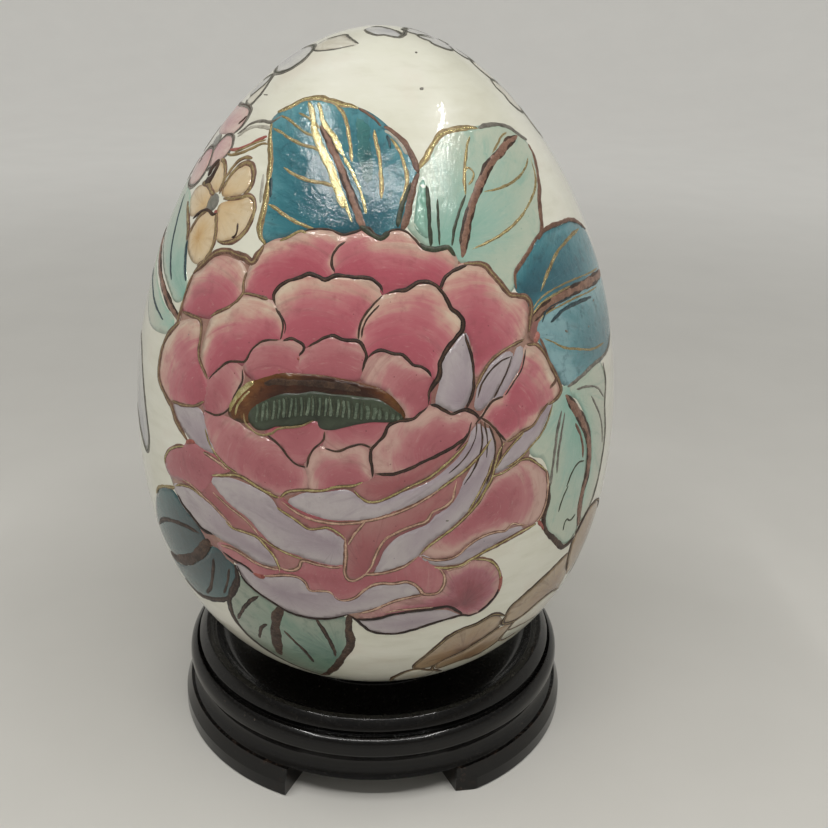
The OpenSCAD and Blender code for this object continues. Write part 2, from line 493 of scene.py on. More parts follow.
PAINT = {
    "rose": paint_material(
        "rose_enamel", [
            (0.0, "9C4653"), (0.42, "A8535F"), (0.68, "B46D72"), (0.86, "C1998B"), (1.0, "CCBAA4")],
        ("87404A", "C49A94"), "5A242C", 0.35, across=True),
    "rose_deep": paint_material(
        "rose_enamel_deep", [(0.0, "984C55"), (0.5, "A25960"), (0.8, "AE7072"), (1.0, "BC9A8E")],
        ("843D46", "C09690"), "4E1C24", 0.35, across=True),
    "rose_wine": paint_material(
        "rose_enamel_wine", [(0.0, "67242E"), (0.4, "8A404A"), (0.75, "A2606A"), (1.0, "B88F87")],
        ("6A2630", "B78886"), "3E141B", 0.4),
    "rose_dull": paint_material(
        "rose_enamel_dull", [(0.0, "8C4248"), (0.5, "945053"), (1.0, "A06D69")],
        ("783A41", "AB7F7A"), "56262C", 0.35),
    "lilac": paint_material(
        "lilac_enamel", [(0.0, "93848C"), (0.5, "A2969B"), (1.0, "B1A8A8")],
        ("877A83", "BEB6B5"), "6F6678", 0.25),
    "teal": paint_material(
        "teal_enamel", [(0.0, "124754"), (0.45, "205C69"), (0.8, "39757F"), (1.0, "5A9098")],
        ("0E3A45", "6397A0"), "0A2A32", 0.65, 0.5),
    "teal_soft": paint_material(
        "teal_enamel_soft", [(0.0, "2A5E6A"), (0.45, "3C7079"), (0.8, "55868D"), (1.0, "7EA3A8")],
        ("1D4A55", "84A7AD"), "0F333C", 0.7, 0.5),
    "teal_deep": paint_material(
        "teal_enamel_deep", [(0.0, "194A50"), (0.5, "295F60"), (0.85, "3E7573"), (1.0, "6C9596")],
        ("12373C", "5F8D8D"), "0C2B30", 0.65, 0.6),
    # A darker copy of the teal enamel: deep teal with painted shade over it, for the leaves lowest on the egg.
    "teal_painted_shade": paint_material(
        "teal_enamel_painted_shade", [(0.0, "06252A"), (0.5, "0C3A40"), (1.0, "1C4F52")],
        ("0A2528", "2F5D5F"), "071B1E", 0.6, 0.2),
    "mint_deep": paint_material(
        "mint_enamel_deep", [(0.0, "5C9280"), (0.5, "76A693"), (1.0, "93B5A6")],
        ("517F6F", "A8C0B2"), "42685B", 0.5),
    # A darker copy of the mint enamel for the bottom leaf: partly its own greener colour, partly painted shade.
    "mint_low": paint_material(
        "mint_enamel_low_painted_shade", [(0.0, "4C7263"), (0.4, "6F8A79"), (0.75, "879585"), (1.0, "929A8A")],
        ("43665A", "A2AB9A"), "2E4A40", 0.5),
    "mint": paint_material(
        "mint_enamel", [(0.0, "7CA798"), (0.35, "95B2A4"), (0.7, "A9B7A6"), (1.0, "B4BCAA")],
        ("7BA698", "C6CDBF"), "6B9184", 0.35),
    "mint_pale": paint_material(
        "mint_enamel_pale", [(0.0, "93B5A6"), (0.3, "A9B9A8"), (0.7, "B4BAA9"), (1.0, "BBBDAC")],
        ("86A696", "C8CBBB"), "7B9484", 0.3),
    "peach": paint_material(
        "peach_enamel", [(0.0, "B58E55"), (0.3, "C6A777"), (0.65, "CDB691"), (1.0, "CFC0A4")],
        ("AC8550", "D6CAAE"), "8B6A41", 0.3),
    "peach_light": paint_material(
        "peach_enamel_light", [(0.0, "BE8F73"), (0.35, "C8A98C"), (0.7, "D0BDA6"), (1.0, "D2C9B8")],
        ("B58468", "DACFC0"), "8E6450", 0.35, across=True),
    # Peach enamel darkened for the petals low on the egg: partly their own brown tone, partly painted shade.
    "peach_brown_painted_shade": paint_material(
        "peach_enamel_brown_painted_shade", [(0.0, "775840"), (0.45, "937658"), (1.0, "A69275")],
        ("694B35", "B3A186"), "5B432F", 0.35),
    "pink": paint_material(
        "pink_enamel", [(0.0, "B07B81"), (0.35, "C09796"), (0.75, "C9ABA4"), (1.0, "D0BFB3")],
        ("A86C75", "D5C3BA"), "7A3F4C", 0.3),
    "cloud": paint_material(
        "cloud_enamel", [(0.0, "9B9AA0"), (0.5, "B7B6B5"), (1.0, "C9C8C1")],
        ("8F8E96", "D5D5CE"), "77767C", 0.3),
    "cream": paint_material(
        "cream_enamel", [(0.0, "B9AE98"), (0.4, "C8C2B1"), (1.0, "D2CFC2")],
        ("AFA48E", "DEDCD0"), "93866F", 0.25),
    "moss": paint_material(
        "moss_enamel", [(0.0, "34453F"), (0.5, "566A5F"), (1.0, "8A978A")],
        ("232F2B", "9FAA9C"), "1A2420", 0.6),
    "amber": paint_material(
        "amber_enamel", [(0.0, "1E0D07"), (0.5, "34190D"), (0.8, "532D16"), (1.0, "754B26")],
        ("170D09", "8F7647"), "150B07", 0.6, coat=0.35),
    "ground": paint_material(
        "ground_enamel", [(0.0, "7A4B46"), (0.5, "8A5D54"), (1.0, "9A7868")],
        ("643C36", "AA9478"), "42261F", 0.55),
    "fringe": paint_material(
        "fringe_enamel", [(0.0, "23281E"), (0.5, "30372A"), (1.0, "464F3F")],
        ("191C14", "5E6653"), "0B0D09", 0.6, coat=0.4),
    "stone": paint_material(
        "stone_enamel", [(0.0, "55564E"), (0.5, "6D6C62"), (1.0, "85827A")],
        ("45463F", "97948A"), "33332E", 0.5),
}

INK = {
    "dark": ink_material("dark_outline", ("140B08", "23140F", "3B2A22"), 0.5),
    "brown": ink_material("brown_outline", ("49332A", "694C3E", "846552"), 0.44),
    "umber": ink_material("umber_outline", ("241811", "3B291F", "57402F"), 0.48),
    "grey": ink_material("grey_outline", ("4F4C46", "6B675F", "8A867B"), 0.38),
    "pale_grey": ink_material("pale_grey_outline", ("8C887C", "A39F93", "B5B2A6"), 0.38),
    "moss": ink_material("moss_outline", ("20251A", "353A2B", "535744"), 0.46),
    "fern": ink_material("fern_line", ("3A4638", "525E4E", "778270"), 0.45),
    "night": ink_material("night_outline", ("15262A", "24393E", "3C555A"), 0.3),
    "red": ink_material("red_outline", ("7A3A36", "96544B", "A9756A"), 0.35),
    "tan": ink_material("tan_outline", ("67543D", "897653", "A8966C"), 0.42, 0.25, 0.16, "C6B88E"),
    "rose_gold": ink_material("rose_gold_line", ("8F6B58", "B89480", "D4B89F"), 0.36, 0.3, 0.18, "E6D3BD"),
    "stem": ink_material("stem_line", ("62443A", "7E5E4E", "967664"), 0.4),
    "gold": ink_material("gold_line", ("84754A", "AC9E6C", "D0C598"), 0.27, 0.8, 0.2, "EFE8C2"),
    "pale_gold": ink_material("pale_gold_line", ("B3A06A", "D3C592", "EDE4BE"), 0.22, 0.85, 0.2, "F4EFD4"),
}


def porcelain_material():
    """Cream glazed porcelain with faint stains, broad brush marks and dark specks; bare at the pour hole."""
    s = Surface("cream_porcelain")
    space = s.space()
    streaks = s.space(0.22, 0.22)
    stain = s.noise(space, 0.045, 4.0, 0.55)
    brush = s.noise(streaks, 0.42, 4.0, 0.6)
    warm = s.noise(space, 0.09, 3.0, 0.5)
    colour = s.ramp(stain, [(0.3, "CFCDBB"), (0.5, "D9D8C9"), (0.7, "DDDBCF")])
    colour = s.blend(s.times(s.band(brush, 0.5, 0.78), 0.35), colour, "E8E8DE")
    colour = s.blend(s.times(s.band(brush, 0.5, 0.3), 0.3), colour, "C4C1AE")
    colour = s.blend(s.times(s.band(warm, 0.52, 0.75), 0.35), colour, "D3C8B6")
    colour = s.blend(s.times(s.dots(streaks, 0.12, 0.035), 0.45), colour, "77746A")
    bare = s.band(s.height(s.coordinate("Object")), (EGG_Z + 0.9) * MM, (EGG_Z + 0.5) * MM)
    colour = s.blend(bare, colour, "C9BFA8")
    rough = s.blend(bare, grey(0.3), grey(0.75))
    swell = s.bump(s.noise(space, 0.22, 3.0, 0.5), 0.35, 0.3)
    relief = s.bump(s.noise(streaks, 1.4, 3.0, 0.6), 0.05, 0.4, swell)
    s.set(Base_Color=colour, Roughness=rough, Specular_IOR_Level=0.2, Normal=relief,
          Coat_Weight=0.8, Coat_Roughness=0.05, Coat_Normal=relief)
    return s.material


def lacquer_material():
    """Glossy black lacquer on turned wood, rubbed brown on its edges, with fine scratches and dust."""
    s = Surface("black_lacquer")
    space = s.space()
    rings = s.space(0.15, 0.15)
    colour = s.ramp(s.noise(space, 0.12, 4.0, 0.6), [(0.3, "060505"), (0.7, "0C0A09")])
    edge = s.nodes.new("ShaderNodeNewGeometry").outputs["Pointiness"]
    wear = s.noise(space, 0.5, 5.0, 0.7)
    worn = s.times(s.band(edge, 0.53, 0.62), s.band(wear, 0.5, 0.68))
    colour = s.blend(s.times(worn, 0.55), colour, "4A3A30")
    level = s.band(s.height(s.nodes.new("ShaderNodeNewGeometry").outputs["Normal"]), 0.3, 1.0)
    settled = s.times(level, s.band(s.noise(space, 1.5, 3.0, 0.7), 0.45, 0.8))
    colour = s.blend(s.times(settled, 0.08), colour, "6E6A62")
    colour = s.blend(s.times(s.dots(space, 0.3, 0.06), 0.5), colour, "5B5149")
    scratch = s.noise(rings, 2.2, 4.0, 0.7)
    gloss = s.ramp(scratch, [(0.35, grey(0.16)), (0.75, grey(0.3))])
    gloss = s.blend(s.times(settled, 0.6), gloss, grey(0.55))
    wave = s.bump(s.noise(rings, 0.35, 3.0, 0.5), 0.12, 0.4)
    s.set(Base_Color=colour, Roughness=gloss, Specular_IOR_Level=0.15,
          Normal=s.bump(scratch, 0.02, 0.4, wave), Coat_Weight=0.42, Coat_Roughness=0.05)
    return s.material


def floor_material():
    """Pale paper with a painted glow: it emits light from a little way out from the object and below the top of
    the wall, standing in for the lit walls of a photo tent.
    """
    s = Surface("pale_floor_painted_glow")
    colour = s.ramp(s.noise(s.space(), 0.02, 3.0), [(0.3, "CCCAC5"), (0.7, "D0CEC9")])
    spot = s.coordinate("Object")
    away = s.nodes.new("ShaderNodeVectorMath")
    away.operation = "LENGTH"
    s.feed(away.inputs[0], spot)
    outer = s.band(away.outputs["Value"], 0.1, 0.85)
    lower = s.band(s.height(spot), 0.95, 0.6)
    # The emission is a painted glow of the paper: none near the object, growing outwards and fading out near
    # the top of the wall.
    s.set(Base_Color=colour, Roughness=0.7, Emission_Color=srgb("E6E5E1"),
          Emission_Strength=s.times(s.times(outer, 0.34), lower))
    return s.material


# ------------------------------------------------------------------ turned pieces and the porcelain shell

# Points round a turned piece, and points up the shell's outer face
AROUND = 240
RINGS = 132
STEPS = [(i, (i + 1) % AROUND) for i in range(AROUND)]


def circle(r, z):
    """Points round the axis at radius r and height z in mm."""
    turns = [2 * math.pi * i / AROUND for i in range(AROUND)]
    return [(r * math.sin(turn) * MM, -r * math.cos(turn) * MM, z * MM) for turn in turns]


def bands(starts):
    """Faces between neighbouring circles, each given by the number of its first point."""
    return [(low + i, low + j, high + j, high + i)
            for low, high in zip(starts[:-1], starts[1:]) for i, j in STEPS]


def lathe(name, profile, material, body):
    """A turned ring: the closed profile's (radius, height) points in mm, turned round the Z axis."""
    verts = [point for r, z in profile for point in circle(r, z)]
    starts = list(range(0, len(verts), AROUND)) + [0]
    return add_mesh(name, verts, bands(starts), material, body)


def shell():
    """The hollow egg: outer face, rounded pour hole and inner face in one closed skin."""
    low_half = len(ring_r) // 2
    hole = float(np.interp(POUR_HOLE_R + 0.5, ring_r[:low_half], angles[:low_half]))
    outer = []
    for a in np.linspace(hole, math.pi, RINGS):
        p = on_egg(0.0, float(np.interp(a, angles, climb)), 0.0) / MM
        outer.append((-p[1], p[2]))
    outer[-1] = (0.0, EGG_Z + EGG_H - RELIEF)
    inner = []
    for a in np.linspace(math.pi, hole * 0.95, RINGS // 2):
        r, z = np.interp(a, angles, ring_r), np.interp(a, angles, ring_z)
        inner.append(((EGG_R - WALL) / EGG_R * r, EGG_Z + WALL + z * (EGG_H - 2 * WALL) / EGG_H))
    inner[0] = (0.0, EGG_Z + EGG_H - WALL)
    foot_z, inner_z = outer[0][1], inner[-1][1]
    lip = [(POUR_HOLE_R + 0.1, foot_z + 0.15), (POUR_HOLE_R, foot_z + 0.5), (POUR_HOLE_R, inner_z - 0.5)]
    inner = [p for p in inner[1:] if p[0] > POUR_HOLE_R + 0.3]
    return skin(inner + lip[::-1] + outer[:-1], EGG_Z + EGG_H - WALL, outer[-1][1])


def skin(profile, inner_tip_z, outer_tip_z):
    """The profile, from under the inner tip down round the pour hole and up to under the outer tip,
    turned round the axis and closed with a point at both tips."""
    verts = [point for r, z in profile for point in circle(r, z)]
    inner_tip, outer_tip = len(verts), len(verts) + 1
    last = inner_tip - AROUND
    verts += [(0.0, 0.0, inner_tip_z * MM), (0.0, 0.0, outer_tip_z * MM)]
    faces = bands(range(0, inner_tip, AROUND))
    faces += [(last + i, last + j, outer_tip) for i, j in STEPS]
    faces += [(j, i, inner_tip) for i, j in STEPS]
    return add_mesh("porcelain_shell", verts, faces, porcelain_material())


shell_piece = shell()
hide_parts("egg_shell")

# ------------------------------------------------------------------ the painted front: the rose
# Outlines are (lon, s) chart points, listed one by one. A row is a patch's name, paint, root, tone and outline.

ROSE = [
    ("rose_back_left", "rose", (-22, 127), (0.15, 1.0), [
        (-31.2, 134.3), (-30.2, 137), (-28.5, 139), (-26, 140.4), (-23, 141), (-20, 142), (-16, 142.9),
        (-12, 142.8), (-9.5, 141.9), (-11, 140), (-11, 138), (-10.2, 136), (-12, 134.9), (-16, 135.6),
        (-20.5, 134.4), (-22.8, 133.2), (-24.6, 130.5), (-27, 130.6), (-30, 130.7), (-31.3, 131.3)]),
    ("rose_back_middle", "rose", (3, 126), (0.15, 1.0), [
        (-10.2, 136), (-11, 137.5), (-11, 139.3), (-9.5, 141.9), (-7, 142.6), (-4, 143.3), (-1.5, 142.2),
        (1, 142.5), (3, 143.5), (6, 143.3), (8, 142), (9.5, 140.8), (12, 140.2), (15, 140.3), (17, 139.6),
        (18, 138.3), (17.6, 137.1), (14.6, 134.8), (13.6, 133.6), (12, 134.4), (8, 134.5), (3, 133.2),
        (1, 132.7), (0.2, 134.2), (-3, 135.6), (-6, 135.6)]),
    ("rose_right", "rose", (21, 121), (0.0, 1.0), [
        (14.3, 134), (15.5, 135.5), (17.5, 136.7), (20, 137.2), (23, 137.2), (25.5, 136.5), (27, 135),
        (28, 133.5), (29.5, 131.5), (30.5, 130.3), (33, 130), (34.5, 129.5), (35, 128), (34.5, 126.5),
        (34, 125), (33, 123.5), (30, 122), (27, 121.8), (25, 120.8), (23, 119.5), (20.5, 117.8), (20.5, 120),
        (20.3, 124), (19, 126.3), (18.5, 128), (17, 129.8), (15.5, 131), (14.8, 132.5)]),
    ("rose_middle_left", "rose", (-13, 119), (0.05, 1.0), [
        (-23.3, 131.5), (-22, 133.3), (-20, 134.3), (-18, 135.2), (-16, 135.5), (-14, 135.2), (-12, 134.7),
        (-10, 135.4), (-7, 135.4), (-3, 135.3), (-1, 134.8), (0.3, 133.5), (0.5, 132.3), (-1, 131.2),
        (-2.8, 129.3), (-4, 127), (-4.3, 125), (-5, 124.5), (-10, 125), (-14, 123.3), (-15.5, 122.7),
        (-17, 123.6), (-20.5, 123.5), (-20.8, 125.5), (-21.5, 127.5), (-23, 129.3)]),
    ("rose_middle_right", "rose", (5, 118), (0.05, 1.0), [
        (1, 132.3), (3, 133), (6, 133.3), (8, 134), (10, 134.5), (12, 134), (13.3, 133), (14.5, 131.8),
        (15.2, 130.3), (17, 129), (18, 127.7), (17.6, 126.2), (16.3, 125), (14.5, 123.5), (13.3, 122),
        (12.5, 120.3), (12.3, 118.7), (11, 118), (10.5, 119.3), (9, 120.3), (7.5, 120.5), (5, 122.2),
        (1, 122.9), (-1, 122.4), (-2.2, 121.5), (-3.8, 124.5), (-3.8, 126.5), (-3, 128.7), (-1.3, 130.7)]),
    ("rose_left_upper", "rose", (-42, 122), (0.0, 1.0), [
        (-50, 125), (-49.5, 128), (-48.5, 131), (-46, 132.5), (-43, 135), (-40, 135.8), (-37, 135.7),
        (-34, 135.2), (-32.5, 134), (-31.8, 132), (-31.8, 130.5), (-33, 129.5), (-35, 127.5), (-39, 125.3),
        (-43, 124.7), (-48, 124.3)]),
    ("rose_left_middle", "rose", (-29, 114), (0.05, 1.05), [
        (-21.2, 123.5), (-20.6, 125.5), (-21.3, 127.3), (-22.8, 128.9), (-24.5, 129.8), (-27, 130.2),
        (-30, 130.1), (-32.5, 129.3), (-34.8, 127.6), (-37.5, 126.3), (-39.2, 124.5), (-39.8, 122.5),
        (-40.5, 118.5), (-40.2, 116.5), (-39, 115), (-37.8, 114.3), (-35, 116.5), (-31, 118.3), (-29, 118.2),
        (-27, 121.5), (-25.3, 122.8)]),
    ("rose_left_outer", "rose", (-38, 109), (0.0, 1.0), [
        (-50.3, 121.5), (-52.5, 119.5), (-54.5, 117.5), (-55.5, 115), (-56, 112), (-55.8, 110), (-54, 108.5),
        (-51.5, 107.2), (-49, 106.8), (-42, 107.7), (-39.8, 108.6), (-38.5, 109.5), (-37.8, 113.7),
        (-39, 114.5), (-40.8, 115.5), (-42.3, 119), (-42.8, 122.5), (-45, 123.3), (-47, 122.7)]),
    ("rose_left_small", "rose_deep", (-38, 108), (0.2, 1.0), [
        (-38, 113.5), (-36.3, 115.2), (-34.5, 116.5), (-32.5, 117.8), (-30.5, 118), (-29.3, 117), (-29, 115),
        (-31.5, 110), (-33, 108.5), (-35, 107.8), (-37.5, 107.7), (-38.5, 109)]),
    ("rose_inner_left", "rose_deep", (-21, 111), (0.1, 1.0), [
        (-28.8, 118.5), (-27.8, 120.5), (-26.3, 122), (-24.2, 123.2), (-22, 123.3), (-19, 123.8),
        (-17, 123.5), (-15.7, 122.6), (-16.5, 120.5), (-15.5, 118.5), (-18, 117.7), (-21, 116.8),
        (-23.5, 115.9), (-26, 116), (-28.3, 117)]),
    ("rose_inner_middle", "rose_deep", (-9, 112), (0.1, 1.0), [
        (-15, 122.2), (-13, 123.4), (-11, 124.4), (-9, 124.7), (-7, 124.3), (-5, 124), (-3.8, 123.3),
        (-3, 122), (-3.2, 120), (-3.8, 118.2), (-6, 117.9), (-10, 118.2), (-16.5, 118.5), (-16.3, 120.5)]),
    ("rose_inner_right", "rose_deep", (12, 112), (0.0, 1.15), [
        (-2, 121), (-0.5, 122.3), (2, 122.4), (4, 121.9), (5.5, 121), (7, 120), (8.5, 119.7), (10, 118.8),
        (10.8, 117.5), (10.3, 116), (10, 113.5), (8.5, 112), (7, 111), (6, 111.3), (5.3, 112.8), (4, 114.5),
        (2.5, 115.8), (0.5, 116.8), (-3, 118), (-2.8, 119.5)]),
    ("rose_cup_left", "rose_deep", (-16, 110), (0.0, 0.8), [
        (-22.5, 106.5), (-20, 107.5), (-17, 108.2), (-14, 109), (-12.5, 109.5), (-11, 108.3), (-10.2, 108.2),
        (-10.5, 106.5), (-12.5, 104.5), (-13.5, 103), (-14.5, 102), (-16.5, 101.8), (-18, 103),
        (-19, 104.5)]),
    ("rose_cup_middle", "rose_deep", (-3, 112), (0.1, 1.0), [
        (-10, 108.3), (-7, 109), (-4, 109.9), (0, 110.2), (1.7, 110), (1, 108.3), (0, 107), (-1, 106),
        (-4.5, 106), (-7.5, 104.8), (-10, 105), (-10.3, 106.5)]),
    ("rose_cup_low", "rose_deep", (-6, 97), (0.0, 1.25), [
        (-13.8, 102), (-13, 103.5), (-12, 104.5), (-10.5, 105), (-8, 104.6), (-6, 105), (-5, 105.8),
        (-3, 106), (-2, 105), (-1.7, 103), (-1, 101), (-1, 99.8), (-3.5, 98.8), (-6, 98.2), (-9, 97.3),
        (-12, 96.9), (-13.3, 97.4), (-13.5, 99.5)]),
    ("rose_cup_right", "rose_deep", (14, 104.5), (0.0, 1.15), [
        (2.5, 109.7), (5, 110.5), (7.5, 111), (9.5, 112.3), (11, 113), (13, 112.3), (14.5, 111.3), (16, 111),
        (18.5, 111.3), (19.5, 110.3), (20, 109), (18.5, 108), (18, 106.5), (14, 104.7), (11, 103.7),
        (8, 102.5), (5, 101.2), (2, 100.8), (-0.5, 101.3), (-0.8, 103.5), (-0.3, 105.8), (1, 107.3)]),
    ("rose_right_low", "rose", (26, 108), (0.0, 1.0), [
        (33.5, 121.3), (36, 121), (37.5, 119.8), (38.7, 118), (40, 115.5), (41.5, 113), (41.8, 111.5),
        (40.5, 110.5), (38, 110), (36, 109.3), (34.8, 107.5), (34, 106.8), (31, 106.5), (28.5, 105.5),
        (27, 105), (25.5, 106.5), (24.5, 107.8), (23, 109), (21.5, 110), (22, 110.5), (24, 112.5),
        (26.5, 113), (28, 114.5), (30, 116), (31.5, 117.3), (32.3, 119), (32.8, 120.5)]),
    ("rose_skirt_left", "rose_deep", (-20, 98), (0.15, 0.95), [
        (-38, 107), (-35, 107.4), (-32, 107.3), (-29.5, 107), (-28, 106.2), (-24, 105.3), (-21.5, 104.8),
        (-19, 103.6), (-17, 101.8), (-15.5, 100.8), (-13.9, 100), (-13.7, 98), (-14.2, 97), (-16, 96.3),
        (-18, 95.5), (-20, 95), (-22, 95.8), (-25, 96.3), (-28.5, 97.3), (-31.5, 98.3), (-34, 99.6),
        (-36, 101.5), (-37.6, 104.5)]),
    ("rose_far_left", "rose_deep", (-40, 96), (0.0, 0.7), [
        (-52, 93.5), (-51, 95.5), (-48.5, 97.2), (-45.5, 98.3), (-44, 98.8), (-43, 100), (-41, 100.5),
        (-38.5, 99.7), (-36, 99.3), (-33.5, 98.6), (-31.5, 97.3), (-33.5, 96.3), (-36, 95.3), (-36.3, 93.8),
        (-37.3, 92.3), (-39, 91), (-42, 91.2), (-45.5, 91.5), (-50.5, 91.2), (-51.8, 92.3)]),
    ("rose_left_strip", "rose_dull", (-40, 92), (0.3, 1.0), [
        (-38.5, 91.3), (-37.5, 92.8), (-36.2, 94), (-35.3, 93), (-33.5, 91.8), (-30, 89.8), (-27.5, 88.6),
        (-25.3, 86.8), (-23.5, 85.4), (-21, 83.8), (-17, 82.6), (-15.3, 81.9), (-15.6, 80.7), (-17, 79.5),
        (-19.8, 78.9), (-20.5, 80.5), (-21.2, 82.3), (-23, 84.3), (-25.3, 85.6), (-29, 85.5), (-31, 86),
        (-33, 87.5), (-36, 89), (-39, 90)]),
    ("rose_fork", "rose_dull", (-2, 80), (0.0, 1.0), [
        (-2, 91), (0, 92), (3, 93), (6, 94), (9, 95), (12, 96), (14.5, 98), (16, 99.3), (16.8, 98),
        (16.3, 96), (15, 94.3), (13.5, 93.4), (11.5, 92.2), (10, 90.8), (7, 89.8), (4.5, 88.6), (2.5, 87),
        (1, 85), (0.3, 83), (-0.5, 81), (-1.5, 80), (-3, 79), (-5, 78.8), (-6, 80), (-5.8, 82), (-5.5, 84),
        (-5.4, 86.3), (-4, 88.5), (-3, 90)]),
    ("rose_wedge", "rose_dull", (-12, 92), (0.2, 1.0), [
        (-19.5, 94.3), (-17.6, 93), (-14.5, 91.8), (-11, 91.1), (-7, 90.9), (-3.5, 91), (-4.5, 89.4),
        (-6, 87.6), (-8, 88.8), (-10, 89.7), (-12.5, 89.3), (-14.5, 90), (-16.8, 91.3), (-19.3, 92.2)]),
    ("rose_band", "rose_dull", (4, 98), (0.1, 1.0), [
        (-4.4, 98), (-2.8, 96.3), (-1.3, 95.6), (1, 96), (4, 97.4), (7, 98.8), (10, 100), (13, 102),
        (16, 104.2), (17.8, 106), (14, 104.3), (11, 103.2), (8, 102.1), (5, 101), (2, 100.4), (-1, 99.8),
        (-3.3, 99)]),
    ("rose_right_skirt", "rose_deep", (22, 92), (0.0, 1.2), [
        (10, 84.3), (12.5, 83.2), (16, 83.3), (18.3, 84.8), (21, 86.3), (24, 86.7), (27.5, 86.3), (29, 87.3),
        (31, 86.8), (33, 86), (35, 86.2), (37, 87.3), (38.3, 89.5), (38.3, 92.5), (37.8, 95), (36, 97),
        (33.5, 98.8), (31, 99.6), (28, 99), (25.5, 98), (23.5, 96), (22, 94), (20, 92), (17.5, 90),
        (15, 88.3), (12, 86.5)]),
    ("rose_frill", "rose_deep", (-8, 78), (0.0, 0.8), [
        (-35.5, 80.3), (-33, 80.8), (-30, 80.2), (-27, 79), (-24, 78.5), (-20, 78.3), (-17, 78.8),
        (-15, 80.3), (-14.8, 81.7), (-12, 81.3), (-9, 81), (-6.5, 81.3), (-6.1, 79.5), (-5.3, 78.3),
        (-4, 78.2), (-2.5, 79.3), (0, 79.8), (3, 80.5), (5.5, 81.3), (8, 82.8), (9.5, 83), (10.3, 82),
        (12, 80.6), (13.5, 79.8), (14.4, 78), (14.6, 76.3), (13.5, 75), (11.5, 74.6), (10.5, 75),
        (9.3, 76.3), (8, 77.3), (6, 77.9), (3.5, 77.5), (1, 77.6), (-1, 76.9), (-2.5, 75.8), (-4, 74.5),
        (-6, 73.5), (-8, 73.3), (-9, 74.5), (-11.5, 75.2), (-13.5, 74.8), (-14.2, 76.2), (-15.5, 77.3),
        (-19, 77.7), (-23, 76.8), (-25, 76), (-26.5, 75.7), (-28, 77), (-30.5, 77.7), (-33, 78.3),
        (-34.8, 79.3)]),
    ("rose_low_right", "rose_wine", (20, 70.5), (0.0, 1.1), [
        (-3, 69.3), (0, 70.7), (3, 72.3), (6, 73.5), (9, 74), (12, 74.2), (14.5, 75), (15.2, 77), (14.8, 79),
        (16, 80), (19, 80.8), (22, 81), (25, 79.5), (27.3, 77), (28.3, 74), (28, 71), (26.5, 68.8),
        (24.5, 67.3), (22, 67), (20, 67.8), (18, 69.3), (15, 70.6), (11, 70.6), (7, 70.3), (3, 69.8),
        (0, 69), (-2, 68.5)]),
]

